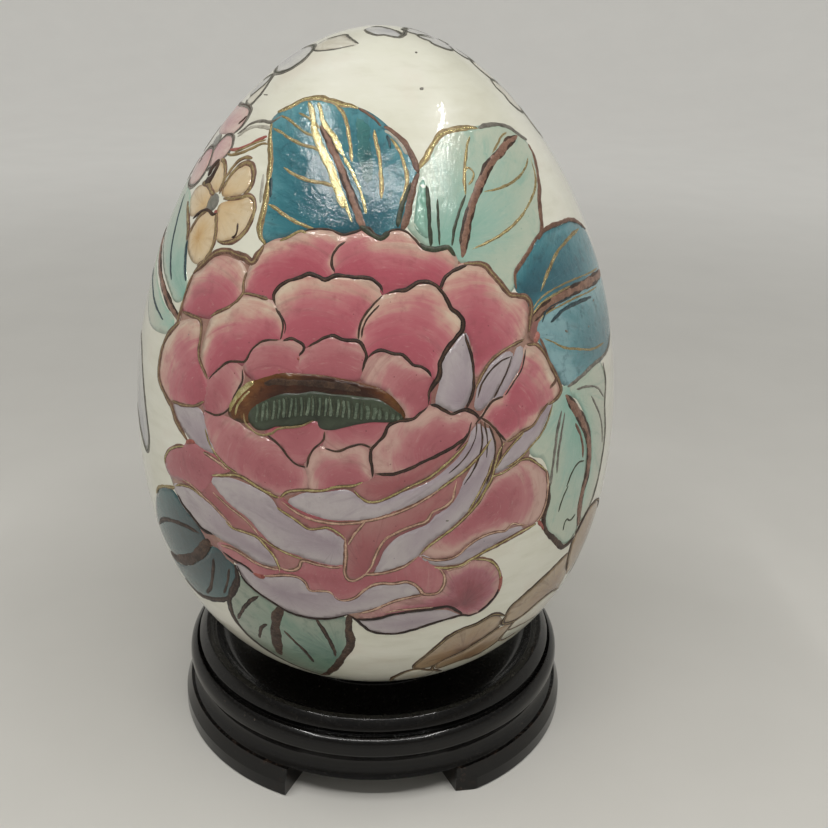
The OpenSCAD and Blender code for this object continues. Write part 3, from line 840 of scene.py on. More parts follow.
# Lilac patches: name, root and outline
LILAC = [
    ("lilac_kite", (18, 113), [
        (18.8, 125.2), (19.3, 122.5), (19.8, 119.5), (19.7, 117), (19, 115), (18, 113), (16.5, 111.8),
        (15, 112), (13.5, 112.7), (12, 113.3), (12, 114.5), (12.5, 116), (13.2, 118.5), (13.5, 120.5),
        (14.7, 122), (16.3, 123.5), (17.5, 124.7)]),
    ("lilac_sliver_a", (21, 112), [
        (20.4, 111.6), (22.6, 112.3), (25, 114.4), (27.6, 117.3), (29.6, 120.2), (28.6, 121), (26, 120.2),
        (23.6, 118.8), (21.5, 116.6), (20.5, 114)]),
    ("lilac_sliver_b", (27, 113), [
        (24.2, 112.8), (26.4, 113.2), (28.6, 115.2), (31, 117.8), (32.6, 120.6), (31.4, 121.6), (30, 119.9),
        (28, 117.2), (25.8, 114.7)]),
    ("lilac_left", (-38, 101), [
        (-48.5, 106), (-45, 106.8), (-42, 107.2), (-39.5, 107.3), (-37.8, 105), (-36.5, 102.5), (-35, 100.5),
        (-38, 100.2), (-42, 100.9), (-45, 102.6), (-47.3, 104)]),
    ("lilac_right", (38, 109), [
        (24, 99.5), (26, 101.5), (28, 103.5), (31, 105.3), (34, 106.5), (36, 108.5), (38.5, 110),
        (39.5, 109.5), (38, 107), (36, 104.5), (33, 102.5), (30, 100.5), (27, 99.6)]),
    ("lilac_low_left", (-22, 81), [
        (-49, 89), (-47, 89.8), (-43, 90.2), (-40, 89.7), (-37, 88.8), (-34.5, 87.8), (-32.5, 86.2),
        (-31, 85.6), (-27, 85.3), (-25, 84.3), (-23, 82.8), (-21.5, 81), (-20.8, 79.8), (-22.5, 79.3),
        (-25.5, 79.5), (-28.5, 80.8), (-31.5, 81.5), (-37, 82.5), (-40, 82.6), (-42.5, 83.7), (-46.5, 85.8),
        (-48, 87.5)]),
    ("lilac_low_middle", (-8, 86), [
        (-36.3, 94.3), (-34.5, 95), (-31.5, 95.8), (-28, 95.7), (-24.5, 95), (-21.5, 93.8), (-20, 92),
        (-18, 91), (-15, 89.5), (-12, 89), (-10, 89.3), (-7.5, 88.3), (-6.3, 87.3), (-6.2, 84.5),
        (-6.3, 82.2), (-8, 81.5), (-10.5, 81.8), (-13, 82.3), (-16, 82.8), (-19.5, 83.2), (-22, 84.5),
        (-24, 86), (-26, 88), (-28.5, 89.3), (-31, 90.2), (-33.5, 91.8), (-35.3, 93)]),
    ("lilac_crescent", (21, 106), [
        (-17.5, 93.8), (-16, 95), (-14.5, 95.8), (-12, 96.4), (-9.5, 96.8), (-7, 97.3), (-5, 97),
        (-3.5, 95.8), (-1.5, 95), (1.5, 95.2), (5, 96.8), (8, 97.8), (11, 99), (14, 101), (16.5, 103),
        (18.4, 105.4), (19.8, 108.6), (21, 108.6), (22.3, 106.4), (21.5, 103.5), (18.5, 101.3), (15.5, 99.5),
        (12, 97.3), (9, 95.6), (6, 94.2), (3, 93), (0, 92), (-3, 91.5), (-9.5, 91.2), (-12.5, 91.9),
        (-15, 92.6)]),
    ("lilac_low_right", (22, 101), [
        (0, 80.3), (1, 82.5), (1.8, 84.8), (3, 86.8), (5, 88.3), (8, 89.5), (10.5, 90.5), (12, 92.3),
        (14.5, 93.5), (16, 95.5), (17.5, 98), (18.8, 100), (21, 103), (22, 107.6), (23.6, 107), (24.2, 102),
        (22.8, 97.8), (20.5, 94.5), (19, 92.5), (17, 90.8), (14.5, 89), (12, 87.5), (9.5, 85.5), (8.5, 84),
        (7, 82.5), (4.5, 81.3), (2, 80.6)]),
    ("lilac_hem", (22, 84), [
        (9, 83.7), (12, 82.6), (14.5, 82.2), (17, 82.8), (19.5, 84.8), (22, 85.7), (25, 86.1), (27.5, 86.1),
        (30.5, 86.2), (33, 85.6), (29, 84.6), (26, 84), (23, 83), (20.5, 81.8), (18, 81), (15, 81),
        (12.5, 81.5), (10.5, 82.3)]),
    ("lilac_bottom", (-20, 73), [
        (-31, 77), (-28.5, 77), (-26.5, 75.5), (-24.5, 75.6), (-22, 76.5), (-19, 77.3), (-16, 77.2),
        (-14.5, 76.3), (-13.8, 74.6), (-11.5, 74.8), (-9.5, 74.8), (-8.3, 73.3), (-6, 73), (-4, 73.8),
        (-2, 75.5), (0, 76.8), (3, 77.2), (6, 77.4), (8, 76.5), (9.3, 75), (8, 74.3), (5, 73.7), (2.5, 72.5),
        (0, 71.5), (-3, 70.6), (-5.5, 70), (-7, 69.5), (-9.5, 68.5), (-12.5, 67.8), (-16, 67.8), (-19, 68.5),
        (-22, 69.3), (-25, 70.5), (-27.5, 72), (-29.3, 73.8), (-30.5, 75.5)]),
    ("lilac_bottom_right", (8, 67), [
        (-3.5, 67.5), (-1.5, 68), (1, 68.4), (4, 69.3), (7, 70), (10, 70), (13, 69.8), (16, 69.3),
        (18.5, 67.8), (19.5, 67.3), (16, 66.8), (12.5, 66), (9, 65), (5.5, 64.3), (2, 64.4), (-0.5, 65),
        (-2.3, 66.2)]),
]

# The whole flower's edge, filled with a dark ground that shows between the petals
ROSE_EDGE = [
    (-30.5, 137), (-29, 139.5), (-26, 140.8), (-20, 142.4), (-14, 143.3), (-9.5, 142.6), (-6, 143.3),
    (-3, 144), (0, 142.8), (3, 144), (6, 143.6), (9, 141.8), (12, 140.6), (16, 140.6), (18.3, 139),
    (20, 137.6), (25, 137), (27.8, 134.6), (30, 132), (33, 130.6), (35.6, 129.8), (36.3, 128), (35, 125),
    (34.6, 123), (36.4, 121.2), (38.3, 119.6), (40.3, 116.6), (42.3, 113), (42, 111), (40.3, 109.8),
    (38.5, 107), (36.5, 104), (33.5, 101.6), (32.6, 100), (34, 99.3), (36.5, 97.5), (38.2, 95.5), (38.8, 92),
    (38.5, 89), (37, 86.8), (34.5, 85.6), (30, 84.8), (25, 83.4), (21.4, 82), (24.5, 80.2), (27, 77.8),
    (28.7, 74.3), (28.3, 70.8), (26.5, 68.2), (24.3, 66.8), (22, 66.7), (20, 67.3), (17, 66.9), (12, 65.8),
    (6, 64.2), (1, 64.2), (-2, 65.6), (-4.5, 68.3), (-6.3, 69.3), (-9.5, 68), (-15, 67.5), (-19.5, 68.2),
    (-25, 70.4), (-28, 72.2), (-30, 74.5), (-31.2, 77), (-34.5, 79), (-36.5, 81.5), (-40, 82.3), (-44, 84.5),
    (-47.6, 86.6), (-49.3, 88.8), (-50.8, 91), (-52.2, 93), (-51, 95.6), (-48, 97.5), (-44.5, 98.8),
    (-42.5, 100.4), (-45.3, 102.5), (-48.5, 105.2), (-51.5, 107), (-54.3, 108.2), (-56.2, 110.5), (-56, 114),
    (-54.6, 117.6), (-52.3, 120), (-50.5, 122), (-50.7, 125), (-50, 128.4), (-49, 131.4), (-46, 134),
    (-43, 136), (-40, 136.7), (-36, 136.6), (-32, 135.8)]
# Heights over the porcelain in mm: of the ground, of the petals' rims and of the middles of petals and lilac
GROUND_LIFT, ROSE_RIM, ROSE_LIFT, LILAC_LIFT = 0.028, 0.04, 0.062, 0.066

enamel("rose_ground", "ground", ROSE_EDGE, (-8, 110), lift=GROUND_LIFT)
enamel("rose_ground_low_left", "ground", [
    (-43.5, 84.4), (-39, 83.4), (-34.5, 81), (-32, 78.6), (-32.4, 76), (-35, 77), (-37.6, 78.8),
    (-40.4, 80.4)],
    (-38, 80), lift=0.03)
for name, paint, root, tone, outline in ROSE:
    enamel(name, paint, outline, root, lift=ROSE_LIFT, tone=tone, rim=ROSE_RIM, grow=0.5)
for name, root, outline in LILAC:
    enamel(name, "lilac", outline, root, lift=LILAC_LIFT, rim=ROSE_RIM, grow=0.25)

# The heart of the rose: a dark fringed disc under a translucent amber rim
enamel("heart_rim", "amber", [
    (-31.8, 108.3), (-31.5, 110), (-30, 112), (-28.5, 113.8), (-27, 115), (-25, 116), (-22.5, 117),
    (-20, 117.8), (-17, 118), (-14, 118.2), (-11, 118.2), (-8, 117.9), (-5, 117.5), (-2, 116.9), (0, 116.5),
    (1.5, 115.8), (3, 114.8), (4.5, 113.3), (5.5, 111.8), (5.2, 110.8), (2, 111), (-3, 112), (-10, 112.5),
    (-18, 111.5), (-24, 109.3), (-27, 107.5), (-30, 107.5)],
    (-6, 117), lift=0.085, rim=0.06)
enamel("heart_disc", "fringe", [
    (-26.8, 108.3), (-26.5, 110), (-25, 111.3), (-23, 112.5), (-21, 113.5), (-19, 114.2), (-16, 114.5),
    (-13, 115.2), (-9, 115), (-6, 115), (-3, 114.8), (0, 114.5), (2, 113.5), (3.5, 112.5), (5, 111.3),
    (5, 110.6), (2, 110.3), (-1, 110.3), (-4, 109.8), (-7, 109), (-9, 108.5), (-11.5, 108.8), (-12, 110),
    (-15, 109), (-18, 108.2), (-20.5, 108), (-21.5, 107.5), (-23, 106.9), (-25, 106.8)],
    (-14, 112), lift=0.1, rim=0.085)
FRINGE_COUNT = 25
fringe = []
for i in range(FRINGE_COUNT):
    share = i / (FRINGE_COUNT - 1)
    lon = -25.0 + 29.0 * share
    foot = 107.6 + 3.1 * math.sin(math.pi * min(share * 0.9 + 0.02, 0.62))
    head = 110.2 + 4.6 * math.sin(math.pi * (0.08 + 0.84 * share)) ** 0.7
    lean = 0.4 * math.sin(2.3 * i)
    width = 0.75 + 0.2 * math.sin(3.1 * i) + (0.25 if share > 0.75 else 0.0)
    middle = (lon + 0.2 + lean * 0.4, (foot + head) / 2)
    fringe.append((width, [(lon, foot), middle, (lon + lean, head - 0.3)]))
lines("heart_fringe", "fern", fringe, 0.14)
lines("heart_fringe_dark", "moss", [
    (0.42, [(lon + 0.62, s + 0.3) for lon, s in points]) for _, points in fringe], 0.15)
lines("heart_top_line", "umber", [
    (1.5, [(-24, 115.2), (-21, 116), (-18, 116.3), (-14, 116.6), (-10, 116.6), (-6, 116.3),
           (-3, 115.8)])], 0.16)
lines("heart_seam", "tan", [
    (0.5, [(-28, 109.5), (-27.6, 107.8), (-26.5, 106.8), (-24, 105.9), (-21.5, 106.5), (-20, 107.6),
           (-15, 108.8), (-12.5, 110.2)])], 0.16)
lines("heart_gold", "gold", [
    (1.1, [(-31.5, 108.8), (-31, 110.5), (-29.7, 112.3), (-28, 114), (-26, 115.3)]),
    (0.5, [(-30, 108.4), (-29.6, 110.3), (-28.4, 112), (-26.8, 113.6)])], 0.18)

# Outlines of the rose
trimmed("rose_outline_upper", "dark", "umber", [
    (1.1, [(-23, 129.2), (-23.8, 131.3), (-22.5, 133), (-20.5, 134), (-18, 134.8), (-16, 135.5),
           (-14, 135.2), (-12, 134.7), (-10, 135.6), (-6, 135.5), (-3, 135.5), (-1, 135), (0.3, 134),
           (1, 132.6)]),
    (0.8, [(-10, 136), (-11, 137.3), (-11, 139), (-10, 140.5), (-8, 141.7)]),
    (1.15, [(1, 132.5), (3, 133.2), (6, 133.4), (7.5, 134.2), (9.5, 134.8), (12, 134.5), (13.7, 133.3),
            (15, 131.8), (15.8, 130), (17.5, 128.8), (18.3, 127.5), (18, 126), (16.5, 124.8), (15, 123.5),
            (13.7, 122), (12.8, 120.5), (12.6, 118.5), (11.5, 117), (10.3, 115.5), (10.2, 113)]),
    (0.9, [(13.7, 133.3), (15, 135.3), (17, 136.3), (19, 136.9), (21, 137.3)]),
    (0.8, [(-20.5, 123.3), (-18.5, 124), (-17, 123.7), (-15.5, 122.8), (-16.5, 121)]),
    (0.85, [(-15, 122.8), (-13, 123.8), (-11.5, 124.7), (-9.5, 125.2), (-7.5, 124.6), (-4, 124.4),
            (-3, 123.4), (-2.4, 122), (-2.8, 120.5), (-3.2, 119)]),
    (0.85, [(-2.2, 121.5), (-1, 122.6), (1, 123), (3, 122.4), (5, 122.2), (6, 121.5), (7.2, 120.4), (9, 120),
            (10.3, 119.2), (11, 118)]),
    (0.8, [(18.5, 125.5), (19, 123.5), (19.8, 121), (20, 118), (19.8, 115.5), (19, 113.5), (18, 112)]),
    (0.9, [(10.3, 113.3), (12, 112.9), (13.5, 112), (15, 111.3), (17, 111.8), (18.5, 111.6), (20, 110.8),
           (21, 109.8)]),
    (0.85, [(10.2, 113), (8.5, 111.8), (7, 110.8), (4, 110.5), (2, 109.5), (1.5, 108), (0, 106.5),
            (-1, 105.3), (-1.2, 103.5), (-0.8, 101.5), (-0.9, 99.8)]),
    (0.9, [(-0.5, 100.8), (3, 100.7), (6, 101.5), (9, 102.8), (14, 104.7), (17.5, 106.5), (18.3, 107.8)]),
], 0.45)
lines("rose_outline_thin", "umber", [
    (0.45, [(-23, 129), (-20.8, 126.5), (-20.7, 124.5), (-21, 123.5)]),
    (0.35, [(-22.2, 128.6), (-20.2, 126.4), (-20.1, 124.6)]),
    (0.45, [(0.8, 132.5), (-1, 131), (-3, 129), (-4, 127), (-4.2, 124.8)]),
    (0.35, [(0.2, 130.9), (-2.2, 128.7), (-3.3, 126.8), (-3.5, 125)]),
    (0.5, [(-20, 142.6), (-16, 143.5), (-12, 143.5), (-9, 142.8), (-6, 143.4), (-3, 144.2), (-1, 143),
           (1, 142.7), (3, 143.9), (6, 143.8), (8.5, 142.3), (10, 140.9), (13, 140.4), (16, 140.5),
           (17.8, 139)]),
    (0.5, [(-10.3, 108.2), (-10.6, 106.6), (-12.3, 104.9), (-13.4, 103.2), (-13.8, 101)]),
    (0.5, [(-10.3, 105.1), (-7.6, 104.7), (-5.5, 105.6), (-3, 106.2), (-1.2, 105.7)]),
    (0.5, [(-22.6, 106.2), (-20.6, 105.2), (-19, 104), (-17.4, 102.4), (-15.8, 101.4), (-14, 101.2)]),
    (0.5, [(-38.4, 107.6), (-35, 107.5), (-33, 108.3), (-31.4, 109.8), (-30.4, 112.2), (-28.9, 115),
           (-29.2, 117.2)]),
    (0.5, [(-37.9, 113.6), (-36, 115.5), (-33, 117.8), (-30.6, 118.3), (-28.8, 118.6), (-27.4, 120.9),
           (-25, 122.8), (-21.2, 123.5)]),
    (0.4, [(20.6, 113.6), (21.8, 116.2), (24, 118.3), (26.6, 119.7), (29.3, 120.2)]),
    (0.4, [(24.3, 113.2), (26.3, 115.7), (28.2, 118.2), (29.4, 120.3)]),
    (0.4, [(27, 113.3), (29.2, 115.4), (31.7, 117.7), (33.2, 121)]),
    (0.5, [(19.9, 108.9), (21.4, 110.2), (24, 112.7), (26.7, 113.2)]),
    (0.5, [(27, 104.8), (25.4, 106.4), (23.2, 108.7), (21.2, 110)]),
], 0.14)
lines("rose_throat", "umber", [
    (0.5, [(19.2, 109.6), (18, 106.6), (15.6, 104.2)]), (0.4, [(20.4, 109.6), (19.8, 106), (17.4, 102.6),
           (14, 100)]),
    (0.5, [(21.2, 109.4), (21.4, 105), (20, 101), (17.4, 97.4)]), (0.4, [(22, 109.2), (22.6, 105.6),
           (22.4, 102)]),
    (0.5, [(23, 108.4), (24.4, 104.6), (24, 100.8), (22.4, 97)]), (0.4, [(24.4, 107.4), (26, 104.6),
           (25.4, 101)])],
    0.1)
trimmed("rose_outline_left", "brown", "tan", [
    (1.4, [(-49.5, 131.5), (-47, 133.5), (-44.5, 135.5), (-42, 136.8), (-39, 137.3), (-36, 137),
           (-33, 136.7), (-31, 136.2), (-30, 137.6), (-28.8, 139.6)]),
    (1.5, [(-50.2, 122), (-52.8, 120), (-55, 117.6), (-56.2, 115), (-56.6, 112), (-56.2, 109.6),
           (-54, 107.9), (-51.5, 106.6), (-49.5, 105.6), (-47.5, 103.3), (-45, 101.5), (-43.5, 100.3)]),
    (0.9, [(-51.4, 121.6), (-50.8, 125), (-50.3, 128), (-49.4, 131.4)]),
    (0.8, [(-31.8, 130.5), (-29, 130.6), (-25, 130.2)]),
    (0.9, [(-50, 124), (-46, 124), (-42.7, 123.6), (-41.9, 121), (-41.6, 117.4), (-39.4, 114.9),
           (-38.1, 113.6)]),
    (0.8, [(-31.9, 134.4), (-32.3, 132.4), (-31.9, 130.4), (-34.7, 127.7), (-37.5, 126.4), (-40, 125)]),
    (0.9, [(-38.6, 109.3), (-41, 107.9), (-45, 107), (-49.5, 106.7)]),
], 0.4, 0.14)
trimmed("rose_outline_right", "brown", "tan", [
    (1.3, [(20, 137.6), (25, 137.1), (27.5, 134.8), (29.5, 132.7), (31, 131.2), (33, 130.8), (35.5, 130.2),
           (36.5, 128.5), (35.5, 126), (34.7, 124)]),
    (0.8, [(20.3, 115.5), (21.5, 117.3), (23, 119), (25, 120.5), (29, 122), (33, 122.8)]),
    (1.0, [(33.6, 121.7), (36.2, 121.4), (38, 120), (39.3, 118), (40.6, 115.7), (42.2, 113.2), (42.5, 111.3),
           (40.8, 110.2), (38.3, 109.6)]),
    (0.8, [(38.6, 110), (36.2, 108.5), (34, 106.6), (31, 105.9), (28.6, 105), (27, 104.6)]),
], 0.4, 0.14)
lines("rose_knots", "red", [
    (1.5, [(35.8, 121.8), (36.8, 122.6), (37.4, 123.6)]),
    (0.9, [(-43.8, 99.6), (-42.5, 100.4), (-40.8, 100.6)]),
    (0.8, [(-20.7, 118), (-20.3, 118.3)]), (0.8, [(-16.8, 120.5), (-16.4, 120.8)]),
    (1.1, [(-27, 76.2), (-25.5, 75.8), (-24, 76)]),
    (0.8, [(36.6, 86), (37.8, 84.8), (38.8, 83.4)]),
    (0.9, [(28.3, 75.5), (28.6, 73), (28.2, 71)]),
], 0.18)
trimmed("rose_outline_low", "brown", "rose_gold", [
    (1.1, [(-6.1, 88), (-6, 85), (-6.1, 82), (-6.3, 80), (-5.6, 78.5), (-4.5, 78.2), (-3, 79), (-2, 79.8),
            (0, 79.9), (3, 80.5), (5.5, 81.4), (7.5, 82.7), (8.7, 83.8)]),
    (1.1, [(-2.3, 79.6), (-1, 81.3), (-0.1, 83.8), (0.8, 86), (2.2, 87.9), (4.5, 89.2), (7, 90.2),
           (10, 91.1), (11.2, 92.8), (13.5, 93.7), (15.2, 95), (15.6, 97), (16.2, 99)]),
    (1.1, [(-19.5, 94), (-17.5, 92.8), (-14.5, 91.4), (-11, 90.7), (-7, 90.6), (-4, 91), (-2, 91.4),
           (2, 92.4), (6, 93.8), (9.5, 95.5), (12.5, 97.3)]),
    (0.94, [(-5.6, 86.2), (-4.4, 88.3), (-3, 90.2), (-2, 91.4)]),
    (1.1, [(-20.5, 79.2), (-18, 78.9), (-16, 79.9), (-15.1, 81.6), (-12, 81.3), (-9, 81), (-6.6, 81.3)]),
    (1.1, [(-35, 80.4), (-32, 80.6), (-29, 80), (-26.5, 79), (-23, 78.5), (-20.5, 78.6)]),
    (1.1, [(-38.5, 99.4), (-35.5, 98.9), (-33, 98.1), (-31.5, 97.5)]),
    (0.94, [(-45.5, 91.6), (-42, 91.3), (-39, 90.2), (-36, 89), (-33, 87.2), (-31, 85.8)]),
    (0.94, [(-36, 91.9), (-34, 91), (-31, 89.6), (-28, 88.4), (-26, 86.9), (-24.5, 85.5)]),
    (1.1, [(-8.7, 74.3), (-7.5, 73.3), (-5.8, 73.3), (-4, 74.3), (-2.5, 75.8), (-0.8, 77.2), (1.5, 77.8),
            (4, 77.6), (6.5, 78), (8.2, 77.2), (9.5, 75.8), (10.3, 74.7), (12, 74.3), (13.5, 74.6),
            (14.5, 76), (14.6, 78), (13.8, 79.8), (12.5, 80.8)]),
    (1.1, [(-3.3, 70), (0, 71.2), (3, 72.8), (6, 73.8), (9, 74.3), (10.5, 74.6)]),
    (0.94, [(-25, 76), (-22, 76.8), (-19, 77.6), (-16.5, 77.7), (-14.8, 76.8), (-13.9, 74.9), (-12, 75),
           (-9.8, 75.1), (-8.4, 74)]),
    (0.83, [(8.8, 83.9), (11, 82.8), (14, 82.3), (17, 82.9), (19.5, 84.9), (22.5, 86.2), (25.5, 86.5),
           (27.8, 86.3), (29.3, 87.4), (31.5, 86.7), (33.8, 85.8)]),
    (0.94, [(14.8, 79.8), (18, 80.1), (20.3, 81.2)]),
    (1.3, [(38, 96.5), (38.6, 93), (38.5, 90), (37.5, 87.4), (36.2, 86)]),
    (0.83, [(2, 70.3), (5, 70.8), (9, 71), (13, 70.9)]),
], 0.5)
trimmed("rose_outline_gold", "brown", "gold", [
    (0.95, [(-52.5, 92.6), (-52.2, 94), (-50.5, 96), (-48, 97.6), (-44.5, 98.9)]),
    (1.1, [(-36, 95.3), (-33, 96.1), (-30, 96.9), (-28, 96.9), (-25, 95.9), (-22, 94.9), (-19.5, 94.3)]),
    (1.0, [(-19.6, 94.2), (-18, 95.7), (-16, 96.4), (-13.5, 96.7), (-10.5, 97), (-8, 97.9), (-5.5, 98.2),
           (-4.4, 98.4), (-2.5, 99.2)]),
    (0.9, [(-4.5, 97.6), (-3, 96.1), (-1.5, 95.3), (1, 95.6), (4, 97), (7, 98.4), (10, 99.6), (13, 101.5),
           (16, 103.8), (18.5, 106)]),
    (0.9, [(-20.3, 92.3), (-18, 91.3), (-15.5, 90), (-13.5, 88.9), (-11.5, 89.2), (-9.5, 89.6), (-7.3, 88.6),
           (-6, 87.4)]),
    (1.0, [(-33, 86.5), (-31, 85.5), (-28, 85.4), (-25, 85), (-23, 83.3), (-21.3, 81.4), (-20.3, 79),
           (-20.5, 78)]),
    (0.8, [(-24.6, 85.3), (-22.5, 84.3), (-20, 83.3), (-17.5, 82.6), (-15, 82)]),
    (1.0, [(9, 84), (11, 85.9), (13.5, 87.6), (16, 89.3), (18.3, 91.2), (20.5, 93.3), (22.3, 95.8),
           (23.8, 98.3), (24.4, 100.6), (25.3, 103), (26.6, 104.6)]),
    (0.8, [(18.6, 91.9), (20.2, 94.4), (21.6, 96.8), (23, 99.4), (23.9, 101.9)]),
    (1.2, [(12, 80.8), (15, 80.4), (18, 80.5), (20, 81.4), (23, 82.6), (26, 83.5), (29, 84.3), (32, 85),
           (36, 85.6)]),
    (0.9, [(20.4, 81.4), (23, 80.9), (25.6, 79.5), (27.3, 77.3), (28.6, 74.2)]),
    (0.9, [(12, 97), (14.6, 98.6), (17, 100), (19.5, 101.8), (21.8, 103.8), (23.7, 106)]),
    (0.7, [(23.3, 98.4), (26, 98.6), (29, 99.7), (31, 100.4), (33, 100.1), (36, 98), (38, 96.4)]),
    (0.8, [(24.3, 99.6), (26.3, 102), (28.8, 104), (31.5, 105.7)]),
    (0.7, [(27, 99.6), (30.2, 100.7), (33.3, 102.6), (36.3, 104.6), (38.3, 107), (39.8, 109.6)]),
    (0.7, [(-38, 104.4), (-36.5, 101.6), (-34.5, 99.8), (-32, 98.3), (-29, 97.3)]),
    (0.8, [(-48.7, 89), (-46, 90.2), (-42, 90.7), (-38.8, 89.7)]),
], 0.5)
lines("rose_outline_bottom", "dark", [
    (0.7, [(-31, 76.8), (-30, 74), (-28, 72.2), (-25.5, 70.8), (-22.5, 69.4), (-19.5, 68), (-15, 67.4),
           (-11, 67.7), (-8.5, 68.4), (-6, 69.5)]),
    (0.75, [(-6, 69.5), (-4.5, 68.5), (-2.5, 66.5), (-1, 65), (2, 64.2), (5, 64.1), (9, 65), (13, 66.2),
            (17, 67), (20, 67.3), (22, 66.7), (24.2, 67)]),
    (0.85, [(-4, 68.3), (0, 68.5), (4, 69.8), (8, 70.3), (12, 70.4), (16, 70.5), (18.5, 69), (20.2, 67.4)]),
    (0.85, [(24, 66.9), (26, 68.3), (27.8, 70.5), (28.7, 73)]),
    (0.9, [(-48, 87.6), (-46.3, 86), (-44, 84.7), (-42, 83.5), (-40.3, 82.4), (-37, 82.2)]),
    (0.6, [(-34.6, 79), (-32, 78), (-29, 77.4), (-26.8, 76.2)]),
], 0.17)

# ------------------------------------------------------------------ the painted front: leaves

LEAVES = [
    ("leaf_teal_left", "teal", (-3, 143), (0.1, 0.95), [
        (-43, 163.8), (-38, 166.5), (-33, 168), (-27, 168.8), (-20, 168.3), (-14, 167.5), (-8, 167),
        (-2, 165.3), (3, 162.8), (7, 160), (9.5, 157), (10.5, 153.5), (9, 150.5), (7, 147.5), (5.5, 144.5),
        (3, 143.4), (0, 142.4), (-3, 143.4), (-9, 143.3), (-14, 143.2), (-20, 142.6), (-25, 141.5),
        (-29.5, 140.3), (-31.2, 143), (-31.8, 147), (-33.3, 151.5), (-35.7, 155.3), (-38.8, 158.3),
        (-41.5, 161.3)]),
    ("leaf_mint_right", "mint", (14, 141), (0.0, 1.0), [
        (11, 154.8), (14, 157.2), (18, 160.3), (22, 162), (28, 162.6), (33, 162.8), (40, 163), (48, 163),
        (54, 161.8), (58, 159.8), (59.5, 157.5), (57, 154), (53, 149.5), (50, 147), (48, 144), (45, 141),
        (41.5, 139.4), (38.8, 138), (35.6, 136.3), (33, 134.4), (32, 132.4), (30.6, 131.8), (28.6, 133.8),
        (26.6, 136), (24, 137.2), (20, 137.8), (17, 139.8), (12, 140.8),
        (9.5, 142.5), (7.2, 144.8), (8.5, 147.5), (9.5, 151)]),
    ("leaf_teal_right_upper", "teal", (35, 131), (0.1, 1.0), [
        (33.2, 131.8), (33.2, 134), (35.6, 136), (38.8, 137.7), (41.5, 139), (45, 140.3), (50, 141),
        (55, 141), (62, 141), (68, 139.8), (75, 137.3), (78, 133.5), (79, 128.6), (70, 129.2), (60, 129.6),
        (50, 129.6), (43, 129), (38.5, 127.6), (36.4, 127.6), (35.6, 130)]),
    ("leaf_teal_right_lower", "teal_soft", (70, 114), (0.1, 1.1), [
        (37, 122.6), (37, 124.2), (38.6, 125.8), (42, 127), (47, 127.9), (54, 128), (62, 127.8), (70, 127.2),
        (79, 126), (79, 122), (77, 117), (72, 114), (65, 113.3), (58, 112.8), (52, 112.3), (47, 111.8),
        (44, 112.4), (42.2, 114.4), (40.2, 117.2), (38.8, 120)]),
    ("leaf_mint_low_left_lobe", "mint", (51, 112), (0.0, 1.0), [
        (45.5, 111.8), (42.6, 111.4), (40, 110), (37, 107.2), (34.2, 104.8), (32.8, 102.8), (33.8, 100.8),
        (36.6, 99.6), (38.4, 97), (38.9, 94),
        (39.2, 90), (39, 88), (39.3, 85),
        (41.5, 81.5), (44, 80), (46, 78.3), (48.5, 76.8), (51, 76.8), (52.5, 78), (52.8, 80.5), (51.8, 83),
        (51.5, 86), (52.3, 90), (52.5, 94), (52, 98), (50.5, 101.5), (48, 105.5), (46.5, 108)]),
    ("leaf_mint_low_right_lobe", "mint_pale", (45, 110), (0.0, 1.0), [
        (45.5, 111), (50, 112), (56, 113), (61, 112.5), (63.5, 108), (62.5, 103), (63.3, 97), (62, 90),
        (60, 84.5), (57.5, 81.5), (54, 80), (53, 82.5), (53, 86), (54.3, 90), (55, 95), (54, 100), (52, 104),
        (48.5, 108.5)]),
    # The two lowest teal leaves are painted with the teal that carries painted shade.
    ("leaf_teal_low_upper", "teal_painted_shade", (-38, 81), (0.0, 1.1), [
        (-53, 86.6), (-50, 87.4), (-47.5, 86.2), (-45, 85), (-42.5, 83.8), (-40.8, 82), (-39.6, 80.6),
        (-42, 76.8), (-45, 74), (-49, 71.5), (-54, 69.5), (-60, 68.5), (-65, 70), (-66, 73), (-63, 78),
        (-60, 82), (-57, 85)]),
    ("leaf_teal_low_lower", "teal_painted_shade", (-35, 79), (0.0, 1.0), [
        (-36.6, 79.4), (-34, 77.8), (-32, 76), (-32, 73.5), (-33, 71), (-34.5, 68), (-37, 66), (-40, 64.3),
        (-44, 62.8), (-48, 61.8), (-53, 61), (-58, 62.5), (-62, 65.5), (-57, 66.4), (-52, 68), (-47, 70.5),
        (-43, 73.5), (-40, 76)]),
    # The bottom leaf uses the mint darkened with painted shade.
    ("leaf_mint_bottom", "mint_low", (-9, 56), (0.0, 1.0), [
        (-30.5, 74), (-32.5, 71.5), (-35, 68), (-36.5, 64.5), (-37, 60), (-36, 56.5), (-34.3, 53.5),
        (-31.5, 50.8), (-28.5, 48), (-25, 45.5), (-20.5, 43), (-16.5, 41.5), (-14, 43.5), (-12, 47),
        (-9.5, 51), (-7.5, 55), (-6, 58.5), (-5.5, 62), (-5.7, 66), (-6.8, 68.6), (-9, 68), (-13, 67.3),
        (-18, 67.8), (-22, 69), (-26, 70.6), (-28.8, 72.6)]),
    ("leaf_mint_far_left_upper", "mint", (-50, 127), (0.0, 1.0), [
        (-82, 145.6), (-76, 146), (-72, 145), (-68, 144.6), (-64, 142.8), (-60.5, 140.5), (-58, 138),
        (-56, 135), (-53, 131.5), (-51.2, 129.4), (-51, 126.6), (-54, 125.4), (-58, 126.8), (-65, 129.3),
        (-72, 132), (-80, 135), (-86, 138), (-87, 143)]),
    ("leaf_mint_far_left_lower", "mint_pale", (-50, 121), (0.0, 1.0), [
        (-86, 132), (-80, 129.8), (-74, 127.8), (-66, 125.4), (-58, 122.9), (-53, 121.6), (-54, 119.4),
        (-58, 118.3), (-66, 118), (-72, 120), (-78, 123), (-85, 127)]),
]
